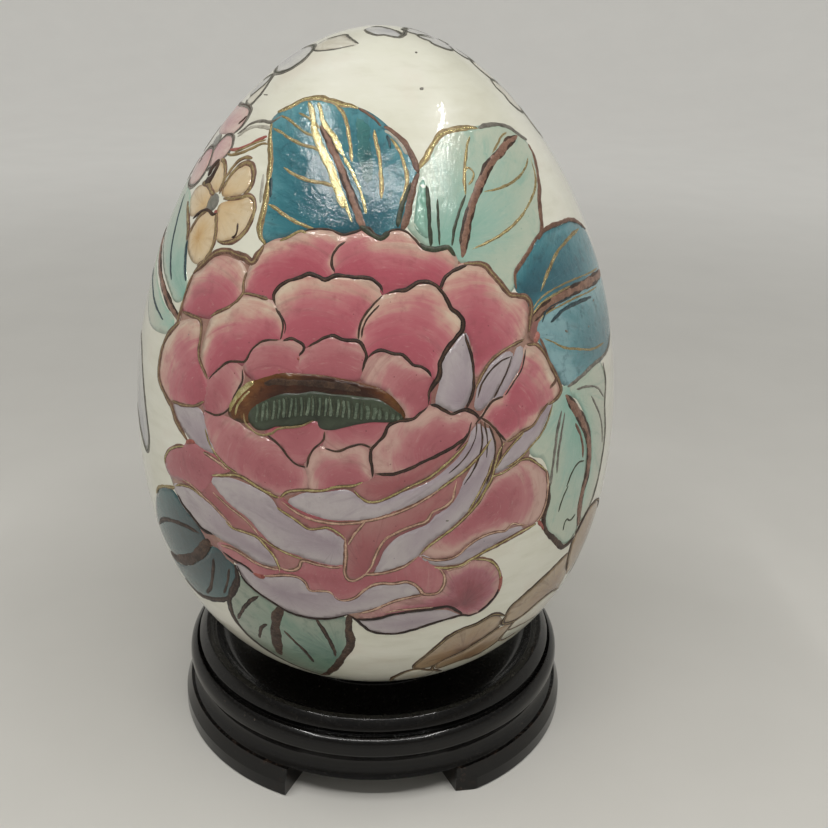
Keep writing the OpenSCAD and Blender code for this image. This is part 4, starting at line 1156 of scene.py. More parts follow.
for name, paint, root, tone, outline in LEAVES:
    enamel(name, paint, outline, root, lift=0.055, tone=tone, grow=0.35)

enamel("leaf_ground_right", "ground", [
    (34.6, 124.8), (36, 127.2), (38.6, 128.2), (40.6, 126.8), (38.8, 124.8), (37.6, 122.8), (36.4, 121.6),
    (34.8, 122.6)],
    (36, 124), lift=0.04)
enamel("leaf_mint_right_dark_side", "mint_deep", [
    (8.6, 144.6), (9.2, 147.6), (10, 150.2), (11.3, 152.8), (12.4, 153.4), (12.9, 150), (12.6, 146),
    (12.4, 142.4), (10.4, 142.8)],
    (11, 150), lift=0.07, rim=0.05)
enamel("leaf_teal_left_panel", "teal_deep", [
    (-10.5, 165.8), (-7, 165.7), (-4, 164.5), (-2.2, 163), (-2.5, 161), (-1.6, 158.5), (-1, 156),
    (-1.2, 153), (-3, 151.5), (-5, 151.6), (-7, 154.5), (-8.5, 157), (-9, 160), (-10, 163)],
    (-3, 152), lift=0.065, tone=(0.3, 0.9))
enamel("leaf_teal_right_shine", "cloud", [
    (43, 131), (47, 131.6), (52, 132.6), (56, 133.3), (55, 132.1), (50, 131.4), (46, 130.9)], (43, 131),
    lift=0.065, tone=(0.6, 1.0))

trimmed("leaf_stem_brown", "umber", "stem", [
    (2.0, [(-85, 134.6), (-78, 132), (-70, 129), (-62, 126.1), (-56, 124), (-50.6, 122.4)]),
    (1.7, [(-3.4, 143.2), (-5, 145.6), (-7, 148.8), (-10, 152.8), (-13, 156.3), (-16, 159), (-19, 161.5),
           (-22, 163.2)]),
    (2.1, [(20, 138.6), (21, 141.4), (22.6, 144.6), (25, 147.8), (28.3, 150.8), (31.3, 153), (34.5, 155),
           (38.5, 156.5), (42.5, 157.6), (47, 159), (51, 159.6), (56, 160.2)]),
    (2.4, [(35.8, 125.6), (38.5, 127), (43, 128), (48, 128.7), (54, 129), (62, 128.8), (70, 128.4),
           (79, 127.8)]),
    (2.6, [(44, 110.4), (46.5, 107.6), (49.5, 104.2), (52, 101), (53.5, 98), (54, 94.5), (53.7, 91),
           (52.5, 88), (52, 85), (52.5, 82), (53.2, 79)]),
], 0.78, 0.12)
lines("leaf_stem_umber", "umber", [
    (2.7, [(-38.4, 80.4), (-40.5, 78), (-43.5, 75), (-47.5, 72.2), (-52, 70), (-56, 68.3), (-62, 66.6)]),
    (2.6, [(-21, 69), (-22.8, 66), (-24, 62), (-25, 58), (-26, 54), (-27, 50)]),
    (1.8, [(-5.4, 69.3), (-5.8, 67), (-5.8, 64), (-5.6, 61), (-6.6, 58), (-8.1, 55), (-10, 51), (-12.5, 47),
           (-15, 43.5), (-17.5, 41)]),
    (1.3, [(39, 93.6), (39, 89.5), (38.2, 86.2), (39.2, 83.4), (41, 81.5), (43, 79.8), (45.5, 77.5),
           (48, 75.8), (51, 76), (53, 76.6)]),
    (1.2, [(53, 76.8), (55, 79), (56.8, 80.6), (58.3, 81.4)]),
], 0.19)
trimmed("leaf_outline_gold", "tan", "gold", [
    (1.3, [(-43, 165), (-40, 165.8), (-37, 167), (-34, 168.3), (-31, 168.8), (-28, 169), (-25, 169),
           (-22, 168.6), (-19, 168.3), (-16, 167.9), (-12, 167.7), (-9, 167.2)]),
    (1.4, [(-42.6, 162.6), (-40.8, 160.6), (-38, 158), (-35.6, 155.6), (-34, 153), (-33, 150.6),
           (-32.1, 148), (-31.6, 145.5), (-31.5, 143), (-30.5, 141), (-28.6, 139.7)]),
    (1.0, [(-19.2, 168), (-17, 167.2), (-14, 165.6), (-12, 163.3), (-10.6, 161), (-9.4, 158.5),
           (-8.6, 156)]),
    (1.1, [(-2.4, 163), (-1.8, 160.5), (-0.6, 158), (0, 155), (0.3, 152), (0.3, 149.3)]),
    (1.0, [(2.8, 161.4), (5, 159.6), (6.5, 157.4), (7.3, 155), (7.5, 153), (6.6, 150.6), (5, 148.4)]),
    (0.9, [(-30, 154.2), (-27, 153.4), (-23, 152.5), (-19, 152), (-15, 151.8), (-11.5, 151)]),
    (0.9, [(-31, 147), (-28, 146.3), (-25, 145.3), (-22, 144.5), (-19, 143.9), (-16, 143.4)]),
    (0.8, [(-40.5, 164.4), (-35, 163.6), (-30, 162.3), (-26, 161.3), (-21.5, 160.7)]),
    (0.9, [(-41, 161.6), (-36, 160.9), (-31, 159.8), (-26, 158.9), (-20, 158.2), (-15.6, 156.8)]),
    (0.7, [(-33, 165.4), (-29, 164.8), (-25, 163.8), (-21.4, 162.3)]),
    (0.6, [(-25, 140.6), (-22.5, 141.6), (-20, 142.8), (-18, 142.6)]),
    (1.3, [(11, 154.9), (13.5, 156.7), (16, 158.9), (19, 161), (22, 162.2), (27, 162.7), (33, 163),
           (37, 162.7)]),
    (0.7, [(20.6, 139.6), (21.6, 142.4), (23.2, 145.2), (26, 148.7), (29, 151.2), (33, 154.2)]),
    (0.9, [(23.8, 149.6), (25, 153.4), (27, 156.6), (29.5, 159.6), (32, 161.4)]),
    (0.6, [(25.4, 151.6), (27.2, 152.6), (28.4, 153.9), (27, 155), (25.4, 154)]),
    (0.8, [(22.3, 139.9), (27, 140.9), (32, 142.1), (37, 143.6), (41, 145.1), (45, 146.9), (50, 149.2),
           (53.4, 151.6), (56, 155.4)]),
    (0.7, [(29.6, 150.2), (35, 150.5), (40, 151.1), (45, 152.1), (50, 153.6), (55, 155.6)]),
    (0.6, [(38, 157.4), (42, 159), (46, 160.5), (50.5, 161.3)]),
    (0.8, [(-60, 83), (-58, 85), (-55, 86.6), (-52.5, 87.5), (-50, 88.2), (-48.5, 88.9)]),
    (0.6, [(36.2, 126.8), (40, 128.6), (45, 129.4), (52, 130)]),
    (1.1, [(40, 130.4), (42.6, 132.6), (46, 134.8), (50, 136.8), (55, 138), (61, 138.8), (68, 139)]),
    (0.5, [(36, 127.4), (39, 129.1), (43, 130.2), (50, 130.8), (58, 130.7), (66, 130.2), (75, 129.4)]),
    (0.5, [(37.8, 125.2), (40.5, 126.4), (45, 127), (52, 127.4), (60, 127.2), (68, 126.8)]),
    (0.7, [(38.6, 122.2), (42, 120.8), (45, 119.3), (50, 118), (57, 116.4), (66, 115.6)]),
], 0.4)
lines("leaf_gold_bed", "pale_gold", [
    (1.5, [(-31, 168), (-27, 165.8), (-23.6, 162.2), (-19.6, 158.8), (-15.6, 155.2), (-12, 151.2),
           (-9.6, 147.4)]),
    (1.1, [(-26.4, 168.2), (-23.4, 166), (-20.8, 163.6), (-16, 161), (-11.4, 157.2)]),
    (0.6, [(-21.4, 160.4), (-17, 157.6), (-13.6, 154.4), (-10.6, 150.6), (-7, 145)]),
    (0.7, [(-11.6, 157.4), (-8.4, 154.4), (-6, 151.6), (-4.6, 149.4), (-3.6, 146.6)]),
], 0.15)
lines("leaf_outline_brown", "brown", [
    (0.6, [(-9, 167.3), (-5, 166.1), (-2, 164.8), (0, 163.5)]),
    (1.1, [(1, 163.6), (4, 162.5), (7, 160.7), (9, 158.5), (10.4, 156), (11, 154.3)]),
    (1.3, [(5.4, 143.8), (6.8, 146), (7.9, 149), (9.4, 152.2), (11, 154.4)]),
    (1.2, [(60, 158), (59, 155.5), (56, 152.5), (53, 149.5), (50, 147), (48, 144), (46.5, 141.5),
           (44, 140)]),
    (0.9, [(47.3, 103.8), (49.2, 101.2), (50.4, 98.5), (50.9, 95.4)]),
    (0.9, [(33, 132), (33.4, 134.6), (36, 136.4), (39, 138), (41.8, 139.6), (45, 140.9), (50, 141.7),
           (56, 141.8), (63, 141.6), (69, 140.2), (76, 137.6)]),
    (0.8, [(39, 112.5), (41.5, 114.4), (39.6, 117.6), (38.9, 119.8), (37.6, 122.4)]),
], 0.17)
lines("leaf_outline_grey", "grey", [
    (1.1, [(37, 162.7), (42, 163.2), (48, 163.1), (53, 162.3), (56, 161), (58.5, 159.6), (61, 159)]),
    (0.7, [(-58, 159), (-56, 160), (-54, 161.5), (-51, 162.3), (-47, 162.7), (-43, 162.7), (-41, 163.6),
           (-39.8, 164.3)]),
    (0.9, [(42.6, 107.6), (41, 104), (40.2, 100), (39.6, 96), (39.4, 93)]),
    (0.9, [(63, 112), (64, 108), (62.7, 103), (63.6, 97), (62.3, 90), (60.3, 84), (58.4, 81.6)]),
    (1.0, [(45, 111.6), (50, 112.4), (56, 113.2), (62, 113.3), (68, 113.6), (74, 115.4)]),
    (0.7, [(43.6, 107), (42.3, 103), (41.3, 99), (41.2, 95)]),
    (0.7, [(54.5, 107.5), (57, 104.6), (59.6, 101.4), (61, 98.2), (61.6, 95)]),
    (0.6, [(48.2, 110.4), (53, 109.8), (58, 108.2), (62, 105)]),
], 0.17)
lines("leaf_outline_dark", "moss", [
    (0.9, [(12.4, 141), (12.5, 145), (12.8, 148), (13, 152)]),
    (0.5, [(14.5, 141), (15, 146), (15.5, 149.4)]),
    (0.9, [(4.4, 144.4), (5.4, 147.6), (6.9, 150.3), (8.6, 152.6)]),
    (1.2, [(9.6, 141.4), (11.2, 140.5), (14, 140.4), (16.6, 140.6), (18.2, 139)]),
    (1.3, [(-5, 144.8), (-3.4, 143.8), (-1.6, 142.9), (0.4, 142.5), (2.4, 143.6)]),
    (0.6, [(17.6, 140.8), (19, 144), (21.5, 147.4), (24, 150)]),
    (0.5, [(45, 91), (46.6, 93.6), (49, 95), (51.6, 94.6)]),
    (0.5, [(43, 86), (43.8, 88.6), (45.6, 91.2)]),
    (0.5, [(46, 80.6), (46.5, 83), (48.6, 82.2), (50.4, 83)]),
], 0.17)
trimmed("leaf_bottom_lines", "dark", "umber", [
    (1.5, [(-41, 81), (-46, 80.9), (-51, 80), (-56, 78.4), (-60, 76.4), (-65, 73)]),
    (1.4, [(-37.8, 76.4), (-39.6, 71.4), (-42, 67), (-45.6, 63.6)]),
    (0.9, [(-33.4, 75.4), (-35.2, 70.8), (-37.6, 67)]),
    (1.6, [(-31.6, 76.8), (-31.6, 73), (-33.8, 69), (-36.8, 66), (-41, 63.9), (-46, 62), (-51, 60.6),
           (-58, 61.6)]),
    (1.3, [(-26.5, 70.5), (-29, 68.5), (-31.5, 65.8), (-34, 62.5), (-36, 60)]),
    (1.3, [(-26, 62.5), (-28, 61), (-29.5, 58.5), (-31, 55.5)]),
    (1.3, [(-22, 62), (-20, 59), (-18, 56), (-17, 53), (-16.5, 50.5)]),
    (1.4, [(-13.2, 67.6), (-12, 65), (-10.6, 61), (-9.8, 57.5), (-9.8, 55)]),
    (1.6, [(-31.3, 74.2), (-33.3, 71), (-35.3, 67.5), (-36.8, 63.5), (-37.2, 60), (-36.3, 56.3),
           (-34.5, 53.3), (-32, 50.8), (-29, 48.2), (-25, 45.5), (-20, 42.8), (-16.5, 41)]),
], 0.5)
lines("leaf_veins_night", "night", [
    (0.9, [(-73.5, 144), (-71, 141.5), (-68.3, 138.4), (-65.2, 134.4), (-62, 131.2), (-58.6, 128.4)]),
    (0.9, [(-57, 136.8), (-54, 132.4), (-51.6, 129.6)]),
    (0.8, [(-80, 126.6), (-73, 124.8), (-66, 122.4), (-58, 120.6)]),
    (0.7, [(2, 161.8), (2.6, 160.6), (3, 159)]),
    (0.8, [(-30.9, 148.2), (-32, 150.6), (-33, 152)]),
    (0.5, [(39, 125), (41, 127), (45, 127.8), (52, 128)]),
    (0.9, [(41.6, 124.6), (47, 126.2), (54, 126.4), (62, 126)]),
], 0.16)

# ------------------------------------------------------------------ the painted front: small flowers

SMALL = [
    ("blossom_petal_top", "peach", (-51, 146), (0.35, 1.0), [
        (-49.5, 148), (-48.8, 150.5), (-46.8, 152.4), (-44, 153.2), (-41.3, 152.6), (-39.6, 150.8),
        (-39.9, 149), (-42.5, 147.8), (-46, 147.2), (-48.3, 147)]),
    ("blossom_petal_right", "peach", (-51, 145), (0.35, 1.0), [
        (-48, 144.8), (-46.2, 145.6), (-43, 146.2), (-40.5, 147), (-38.3, 147.6), (-36.2, 147),
        (-35.1, 145.4), (-35.2, 143.4), (-36, 141.6), (-38.3, 139.8), (-41, 139), (-44, 138.8),
        (-45.2, 140.2), (-46.5, 142), (-47.6, 143.3)]),
    ("blossom_petal_bottom", "peach", (-52, 138), (0.0, 0.9), [
        (-52.5, 143.2), (-50, 143), (-48, 142.6), (-46.8, 141.2), (-45.6, 139.5), (-45.4, 137.5),
        (-46.5, 135), (-49, 133.6), (-52, 134), (-55, 135.6), (-56.8, 138.2), (-55.8, 140.8),
        (-54, 142.4)]),
    ("blossom_petal_left", "peach", (-55, 144), (0.2, 1.0), [
        (-65, 146), (-62, 147.2), (-58, 147.3), (-55, 146.6), (-54, 145.3), (-54, 144), (-55.4, 143),
        (-57.5, 142), (-60, 141.4), (-63, 142.4), (-65.5, 144.3)]),
    ("blossom_petal_back", "peach", (-52, 147), (0.35, 1.0), [
        (-58.5, 152.8), (-56, 152.5), (-53.5, 151.5), (-51.5, 149.8), (-51.2, 148), (-52, 147.2),
        (-55, 147.6), (-58, 148.4), (-58.3, 150)]),
    ("blossom_heart", "stone", (-53, 145.5), (0.0, 1.0), [
        (-54, 145.3), (-53, 146.4), (-51.3, 146.6), (-49.6, 145.9), (-49.4, 144.8), (-50.4, 143.8),
        (-52, 143.5), (-53.5, 144.1)]),
    ("pink_petal_top", "pink", (-74, 160), (0.1, 1.0), [
        (-87, 163.6), (-80, 163.6), (-73, 164), (-66, 164.3), (-61.5, 163.6), (-59.3, 162), (-59.6, 160),
        (-62, 158.8), (-68, 158.3), (-74, 157.8), (-80, 158), (-87, 158.6)]),
    ("pink_petal_right", "pink", (-69, 156), (0.1, 1.0), [
        (-68, 155.5), (-66, 157.3), (-62, 157.8), (-58.5, 157), (-56.8, 155.5), (-58, 153.8), (-61, 152.5),
        (-64, 151.5), (-66, 153)]),
    ("pink_petal_low", "pink", (-72, 155), (0.1, 1.0), [
        (-79, 151), (-76, 153.3), (-72, 154), (-69, 153.8), (-66.5, 152), (-65.5, 150), (-67, 147.8),
        (-70, 146.6), (-75, 146.4), (-79, 147.5), (-84, 148.4), (-84, 150.4)]),
    ("pink_heart", "stone", (-72, 156), (0.3, 1.0), [
        (-76, 156), (-74, 157.3), (-70, 157.2), (-68.3, 156), (-70.5, 154.8), (-74, 154.8)]),
    ("white_petal_low", "cream", (-76, 168), (0.2, 1.0), [
        (-73, 166.6), (-69, 169.8), (-66, 170), (-64, 167.6), (-65, 165.6), (-70, 165.3)]),
    ("white_petal_high", "cloud", (-78, 168), (0.2, 1.0), [
        (-79, 170), (-75, 172.4), (-71, 172.4), (-69.6, 170.6), (-72, 168), (-77, 167.4)]),
    ("grey_petal_high", "cloud", (-86, 178), (0.1, 1.0), [
        (-88, 180), (-80, 181.4), (-72, 182), (-64, 181.6), (-59.5, 180.2), (-57, 178), (-58.6, 175.9),
        (-63, 174.6), (-70, 174), (-78, 174.4), (-88, 175)]),
    ("cream_petal_high", "cream", (-60, 184), (0.3, 1.0), [
        (-66, 185), (-58, 186.3), (-50, 187.4), (-42, 186.8), (-33, 185.8), (-23, 184.5), (-34, 182.9),
        (-46, 182), (-56, 181.6), (-64, 182.4)]),
    ("tip_petal", "cloud", (30, 191), (0.2, 1.0), [
        (-34, 192), (-24, 190.6), (-14, 189.6), (-6, 189), (2, 189.2), (10, 188.7), (18, 188.2), (25, 189),
        (24, 190.8), (16, 192.2), (6, 193.3), (-6, 193.9), (-20, 193.9), (-32, 193.3)]),
    ("grey_petal_left", "cloud", (-64, 92), (0.0, 1.0), [
        (-80, 112), (-73, 111), (-69, 107.6), (-65.6, 103), (-63, 98.4), (-62, 94.4), (-64, 92), (-68, 93.6),
        (-73, 96.6), (-79, 98), (-84, 104)]),
    # The low peach petals: peach darkened, partly their own brown, partly painted shade.
    ("peach_low_far", "peach_brown_painted_shade", (66, 70), (0.1, 0.9), [
        (55, 79.2), (58, 80.4), (62, 80.4), (67, 78.6), (71, 75), (72, 70), (69, 66), (63, 63.5), (58, 64),
        (55.4, 66.6), (53.8, 69.4), (52.8, 72.6), (53.4, 76)]),
    ("peach_low_right", "peach_brown_painted_shade", (52, 62), (0.1, 1.1), [
        (33.8, 63), (34.2, 65), (36.5, 66.6), (40, 68.4), (44, 70), (48, 71.5), (51.8, 72.2), (53, 69),
        (55, 66.4), (57, 63), (57, 60), (53, 61.4), (49, 62.2), (45, 61.8), (42, 60.6), (39, 59.7),
        (36, 59.8), (33.6, 60.6)]),
    ("peach_low_middle", "peach_brown_painted_shade", (24, 54), (0.0, 1.0), [
        (10.8, 50.5), (11.3, 52.5), (13, 55), (15, 58), (17.3, 60.5), (20, 62), (23, 62.7), (26.5, 63.6),
        (29, 64), (31.6, 62.6), (32.3, 60.5), (31, 58.8), (27.5, 56.8), (24.5, 54.6), (21.5, 52.6), (19, 51),
        (17.2, 49.2), (14.5, 48.4), (12, 48.8)]),
    ("peach_low_inner", "peach_brown_painted_shade", (26, 48), (0.1, 1.0), [
        (19.2, 50.6), (22, 52), (25, 53.6), (28, 55.6), (31, 57.8), (34.5, 58.8), (37.6, 57.6), (36.6, 55),
        (36.4, 52.6), (33, 49.4), (29, 48.3), (25, 48.2), (21.5, 47), (19, 46.6), (18, 48.6)]),
    ("peach_low_tuck", "cream", (38, 53), (0.0, 1.0), [
        (38.2, 58.6), (41, 59.4), (45, 60.8), (49, 61.4), (54, 60.6), (57, 57.6), (52, 54.4), (46, 54.6),
        (42, 55.4), (38.2, 56)]),
    ("peach_low_left", "cream", (14, 42), (0.1, 1.0), [
        (6.4, 40), (6.4, 43), (7.8, 45.2), (9.7, 47), (12, 47.6), (15, 46.4), (18, 44.4), (17, 40.5),
        (12, 38.4)]),
]
for name, paint, root, tone, outline in SMALL:
    enamel(name, paint, outline, root, lift=0.06, tone=tone, grow=0.3)

trimmed("blossom_outline", "brown", "tan", [
    (1.2, [(-49.6, 148), (-49, 150.8), (-47, 152.9), (-44, 153.9), (-41, 153.2), (-39, 151.2),
           (-38.9, 149.2), (-40.2, 147.9)]),
    (1, [(-47.6, 146.4), (-45, 146.6), (-42.5, 147), (-40.5, 147.4), (-38.3, 147.9), (-36, 147.3),
           (-34.7, 145.6), (-34.8, 143.2), (-35.7, 141.3), (-37.6, 139.7), (-40.4, 138.7), (-43.8, 138.5)]),
    (1.1, [(-48.2, 143.6), (-46.8, 141.8), (-45.4, 139.8), (-45, 137.6), (-46.2, 134.6), (-48.8, 133.1)]),
    (1.2, [(-57.2, 138), (-56, 140.8), (-54.2, 142.6), (-52.4, 143.4)]),
    (1.3, [(-67, 143.4), (-62, 140.9), (-58.4, 138.6), (-57, 136.6)]),
    (1.3, [(-62.5, 147.8), (-58, 147.9), (-54.8, 147), (-52.6, 146.6)]),
    (1.1, [(-58.5, 153.4), (-55.8, 153), (-53, 151.8), (-51, 149.8), (-50.7, 147.4)]),
    (0.9, [(-50.2, 147), (-50.9, 149.4), (-50.1, 152), (-48.6, 153.9), (-46.4, 154.8), (-43, 154.9)]),
], 0.72)
lines("blossom_outline_dark", "umber", [
    (0.7, [(-58.2, 140.9), (-56, 142.4), (-54, 143.2), (-52, 143.4), (-49.6, 143), (-47.8, 143.4)]),
    (0.5, [(-38.8, 142.6), (-38.2, 141.4), (-38.4, 140.2), (-39.4, 139.8)]),
    (1.6, [(-60.8, 149.4), (-61.2, 151), (-60, 152.6), (-58.8, 153)]),
    (1.8, [(-58.6, 152.6), (-58.1, 151), (-58.5, 149.2), (-59.8, 148.5), (-60.8, 149.2)]),
    (0.6, [(-62, 160.8), (-60.6, 162), (-60, 163)]),
], 0.19)
lines("twig", "red", [
    (0.8, [(-57, 155.6), (-54, 155.8), (-51, 156.4), (-48, 157.3), (-45, 158.6), (-41.4, 159.7)]),
    (1.3, [(-49.2, 143.6), (-48, 143.6)]),
], 0.17)
lines("twig_tan", "tan", [
    (0.7, [(-57, 154.7), (-54, 154.7), (-50, 155.4), (-46, 156.6), (-42, 158.1), (-39.4, 158.2)]),
    (0.5, [(-53, 155.4), (-48.5, 156.8), (-44.6, 158.2), (-41, 159)]),
], 0.15)
lines("blue_shadow", "pale_grey", [
    (0.8, [(-56.6, 158.4), (-53.6, 160.4), (-49.6, 161.3), (-45, 161.5), (-41.5, 161.3)]),
    (0.8, [(1, 162.8), (4, 161.6), (6.6, 159.8), (8.2, 157.8)]),
    (0.6, [(-36, 152.4), (-34.8, 149.8), (-33.6, 147)]),
], 0.12)
trimmed("pink_outline", "grey", "umber", [
    (1.1, [(-87, 164.3), (-80, 164.4), (-73, 164.8), (-66, 165), (-61, 164.3), (-58.6, 162.4),
           (-58.9, 160.2), (-60.6, 158.8)]),
    (0.9, [(-68.6, 155.4), (-66.3, 157.8), (-62.2, 158.5), (-58.3, 157.7), (-56.2, 155.6), (-57.8, 153.4)]),
    (1.1, [(-80, 151), (-76.6, 153.9), (-72.2, 154.7), (-68.8, 154.3), (-65.9, 152.3), (-64.8, 150),
           (-66.4, 147.4), (-70, 146), (-75.2, 145.8), (-80, 146.8)]),
    (1.2, [(-78, 150), (-76, 151.6)]),
    (1.1, [(-64.4, 150.2), (-62.4, 151), (-61, 150.4)]),
], 0.4)
trimmed("high_outline", "grey", "moss", [
    (1.1, [(-74, 166), (-70, 165.2), (-65, 165), (-63.4, 167), (-64.6, 169.6), (-67.6, 171.6),
           (-69.6, 173)]),
    (1.0, [(-80, 171), (-75.6, 172.6), (-72, 172.8), (-69.4, 171), (-71, 168.4), (-74, 166.8)]),
    (1.4, [(-88, 175), (-78, 174.2), (-70, 173.6), (-63, 174.2), (-58, 175.6), (-55.8, 178), (-58.6, 180.8),
           (-64, 182.2), (-72, 182.6), (-80, 182), (-88, 180.6)]),
    (0.6, [(-66, 185.4), (-58, 186.9), (-50, 188), (-42, 187.4), (-32, 186.2), (-21, 184.6)]),
    (0.5, [(-64, 181.9), (-56, 181.2), (-46, 181.5), (-36, 182.4), (-24, 184)]),
    (0.9, [(-35, 191.6), (-24, 190.1), (-14, 189.1), (-6, 188.5), (2, 188.7), (10, 188.2), (18, 187.7),
           (26, 188.6), (38, 190.4), (50, 191.6), (65, 192.4), (80, 192.6)]),
    (0.9, [(26, 188.8), (24.6, 191), (16, 192.6), (6, 193.6), (-6, 194.2), (-20, 194.3), (-34, 193.6)]),
    (1.1, [(-80, 112.6), (-73, 111.6), (-68.4, 107.9), (-65, 103.2), (-62.4, 98.6), (-61.3, 94.4),
           (-64, 91.2), (-68.4, 92.8), (-73.4, 95.8), (-79, 97.2)]),
], 0.35)
trimmed("peach_low_outline", "umber", "tan", [
    (1.15, [(11.2, 48.6), (11, 51), (13, 54.5), (15.5, 58), (18, 61), (21, 62.7), (25, 63.4), (28.5, 64.8),
            (31, 64), (33, 62.8)]),
    (1.0, [(33, 62.8), (34, 65.5), (36.5, 67), (40, 68.8), (44, 70.5), (48, 72), (52, 72.8)]),
    (1.1, [(52.6, 76.8), (52.2, 74.6), (52.6, 72), (53.5, 69.5), (55, 67), (56, 66)]),
    (1.2, [(33.4, 63), (33.3, 60.4), (36, 59.3), (39, 59.3), (42, 60.3), (45, 61.6), (49, 62.3), (53, 61.6),
           (57, 60)]),
    (1.1, [(18, 50.6), (21, 52.3), (24, 53.7), (27, 55.6), (30, 57.7), (33, 59.6)]),
    (1.1, [(18.2, 50.8), (17, 48.8), (17.4, 46.4), (19.4, 44.6), (22, 42)]),
    (1.1, [(19, 46), (22, 47.3), (25, 48.3), (29, 48), (33, 48.6)]),
    (1.1, [(38, 59), (36.8, 56.4), (36, 54), (37.2, 52), (40, 51), (44, 51.4)]),
    (0.8, [(37.6, 55.8), (42, 55.3), (46, 54.6)]),
    (1.2, [(5.8, 38.5), (6, 43), (7.5, 45.6), (9.5, 47.7), (12, 48.4), (15, 47.2), (18, 45)]),
    (0.9, [(55, 79.6), (58.4, 81), (62.6, 81), (68, 79), (72, 75)]),
], 0.35)
lines("stray_specks", "grey", [
    (0.45, [(24.6, 181.8), (26.4, 182.2)]), (0.6, [(17.6, 171.8), (19.4, 172.3)]),
    (0.3, [(-60.4, 168.2), (-57, 168.3)]), (0.25, [(-17.4, 98), (-17, 98.1)]),
    (0.45, [(-46.2, 120.4), (-45.8, 120.5)]), (0.7, [(46, 122.5), (47.5, 121.8)]),
    (0.5, [(56.3, 121), (57.4, 121)]), (0.5, [(62, 125), (63.4, 125)]),
    (0.5, [(13.8, 90.8), (14.8, 90.7)]),
], 0.1)

# ------------------------------------------------------------------ the painted sides and back

# Petal outlines as (x, y) in petal lengths, from the foot at the origin towards +Y: a plain one, a frilled one
PETAL = ((0.07, 0.0), (0.26, 0.22), (0.41, 0.52), (0.38, 0.8), (0.2, 0.96), (0.02, 0.91), (-0.13, 1.0),
         (-0.34, 0.88), (-0.43, 0.56), (-0.28, 0.22), (-0.07, 0.0))
FRILL = ((0.1, 0.0), (0.38, 0.3), (0.52, 0.6), (0.47, 0.83), (0.3, 0.9), (0.22, 1.0), (0.04, 0.95),
         (-0.1, 1.04), (-0.28, 0.93), (-0.45, 0.86), (-0.54, 0.6), (-0.4, 0.3), (-0.1, 0.0))


def placed(shape, lon, s, turn, length, width=1.0):
    """A shape drawn along +Y, set down at (lon, s) in mm times length, its tip turned right by turn degrees."""
    c, d = math.cos(math.radians(turn)), math.sin(math.radians(turn))
    out = []
    for x, y in shape:
        x, y = x * length * width, y * length
        height = s - x * d + y * c
        out.append((lon + (x * c + y * d) / mm_per_degree(height), height))
    return out


def blossom(name, paint, under, over, lon, s, size, turn, petals=5, heart="stone"):
    """A small flower of separate petals round a dark heart, each with its own outline."""
    rim = [(x * 1.04, y * 1.03) for x, y in PETAL[1:-1]]
    strokes = []
    for i in range(petals):
        angle = turn + 360 * i / petals + 7 * math.sin(3 * i + lon)
        length = size * (1 + 0.1 * math.sin(5 * i + s))
        start = placed([(0, 0.16 * size)], lon, s, angle, 1.0)[0]
        outline = placed(PETAL, start[0], start[1], angle, length, 1.1)
        enamel(f"{name}_petal_{i}", paint, outline, (lon, s), lift=0.06, tone=(0.3, 1.0), grow=0.2)
        strokes.append((0.9, placed(rim, *start, angle, length, 1.1)))
    trimmed(f"{name}_outline", under, over, strokes, 0.5)
    ring = [(0.2 * size * math.cos(a), 0.2 * size * math.sin(a)) for a in np.linspace(0, 2 * math.pi, 9)[:-1]]
    enamel(f"{name}_heart", heart, placed(ring, lon, s, 0, 1.0), (lon, s), lift=0.12, rim=0.09)


def leaf(name, paint, outline_ink, vein_ink, lon, s, length, turn, width=0.6, bend=0.12):
    """A broad leaf with a wavy edge, a thick midrib and side veins."""
    def middle(t):
        return bend * math.sin(math.pi * t)

    def edge(t, side):
        wave = 0.03 * math.sin(17 * t + lon) * min(1, 5 * t * (1 - t))
        return middle(t) + side * (width / 2 * math.sin(math.pi * t ** 0.8) ** 0.75 + wave)

    steps = [i / 9 for i in range(10)]
    right_side = [(edge(t, 1), t) for t in steps]
    left_side = [(edge(t, -1), t) for t in steps]
    outline = placed(right_side + left_side[-2:0:-1], lon, s, turn, length)
    enamel(f"{name}_blade", paint, outline, (lon, s), lift=0.055, tone=(0.05, 1.0), grow=0.2)
    spine = [(middle(t), t) for t in (-0.04, 0.15, 0.35, 0.55, 0.75, 0.88)]
    trimmed(f"{name}_midrib", "umber", "brown", [(2.0, placed(spine, lon, s, turn, length))], 0.62)
    veins = []
    for t in (0.22, 0.4, 0.58):
        for side in (1, -1):
            span = side * 0.8 * abs(edge(t + 0.16, side) - middle(t + 0.16))
            vein = [(middle(t + 0.2 * u) + u * span, t + 0.2 * u) for u in (0.08, 0.45, 0.95)]
            veins.append((0.7, placed(vein, lon, s, turn, length)))
    lines(f"{name}_veins", vein_ink, veins)
    trimmed(f"{name}_outline", outline_ink, vein_ink, [
        (1.1, placed(right_side, lon, s, turn, length)), (0.9, placed(left_side, lon, s, turn, length))], 0.4)


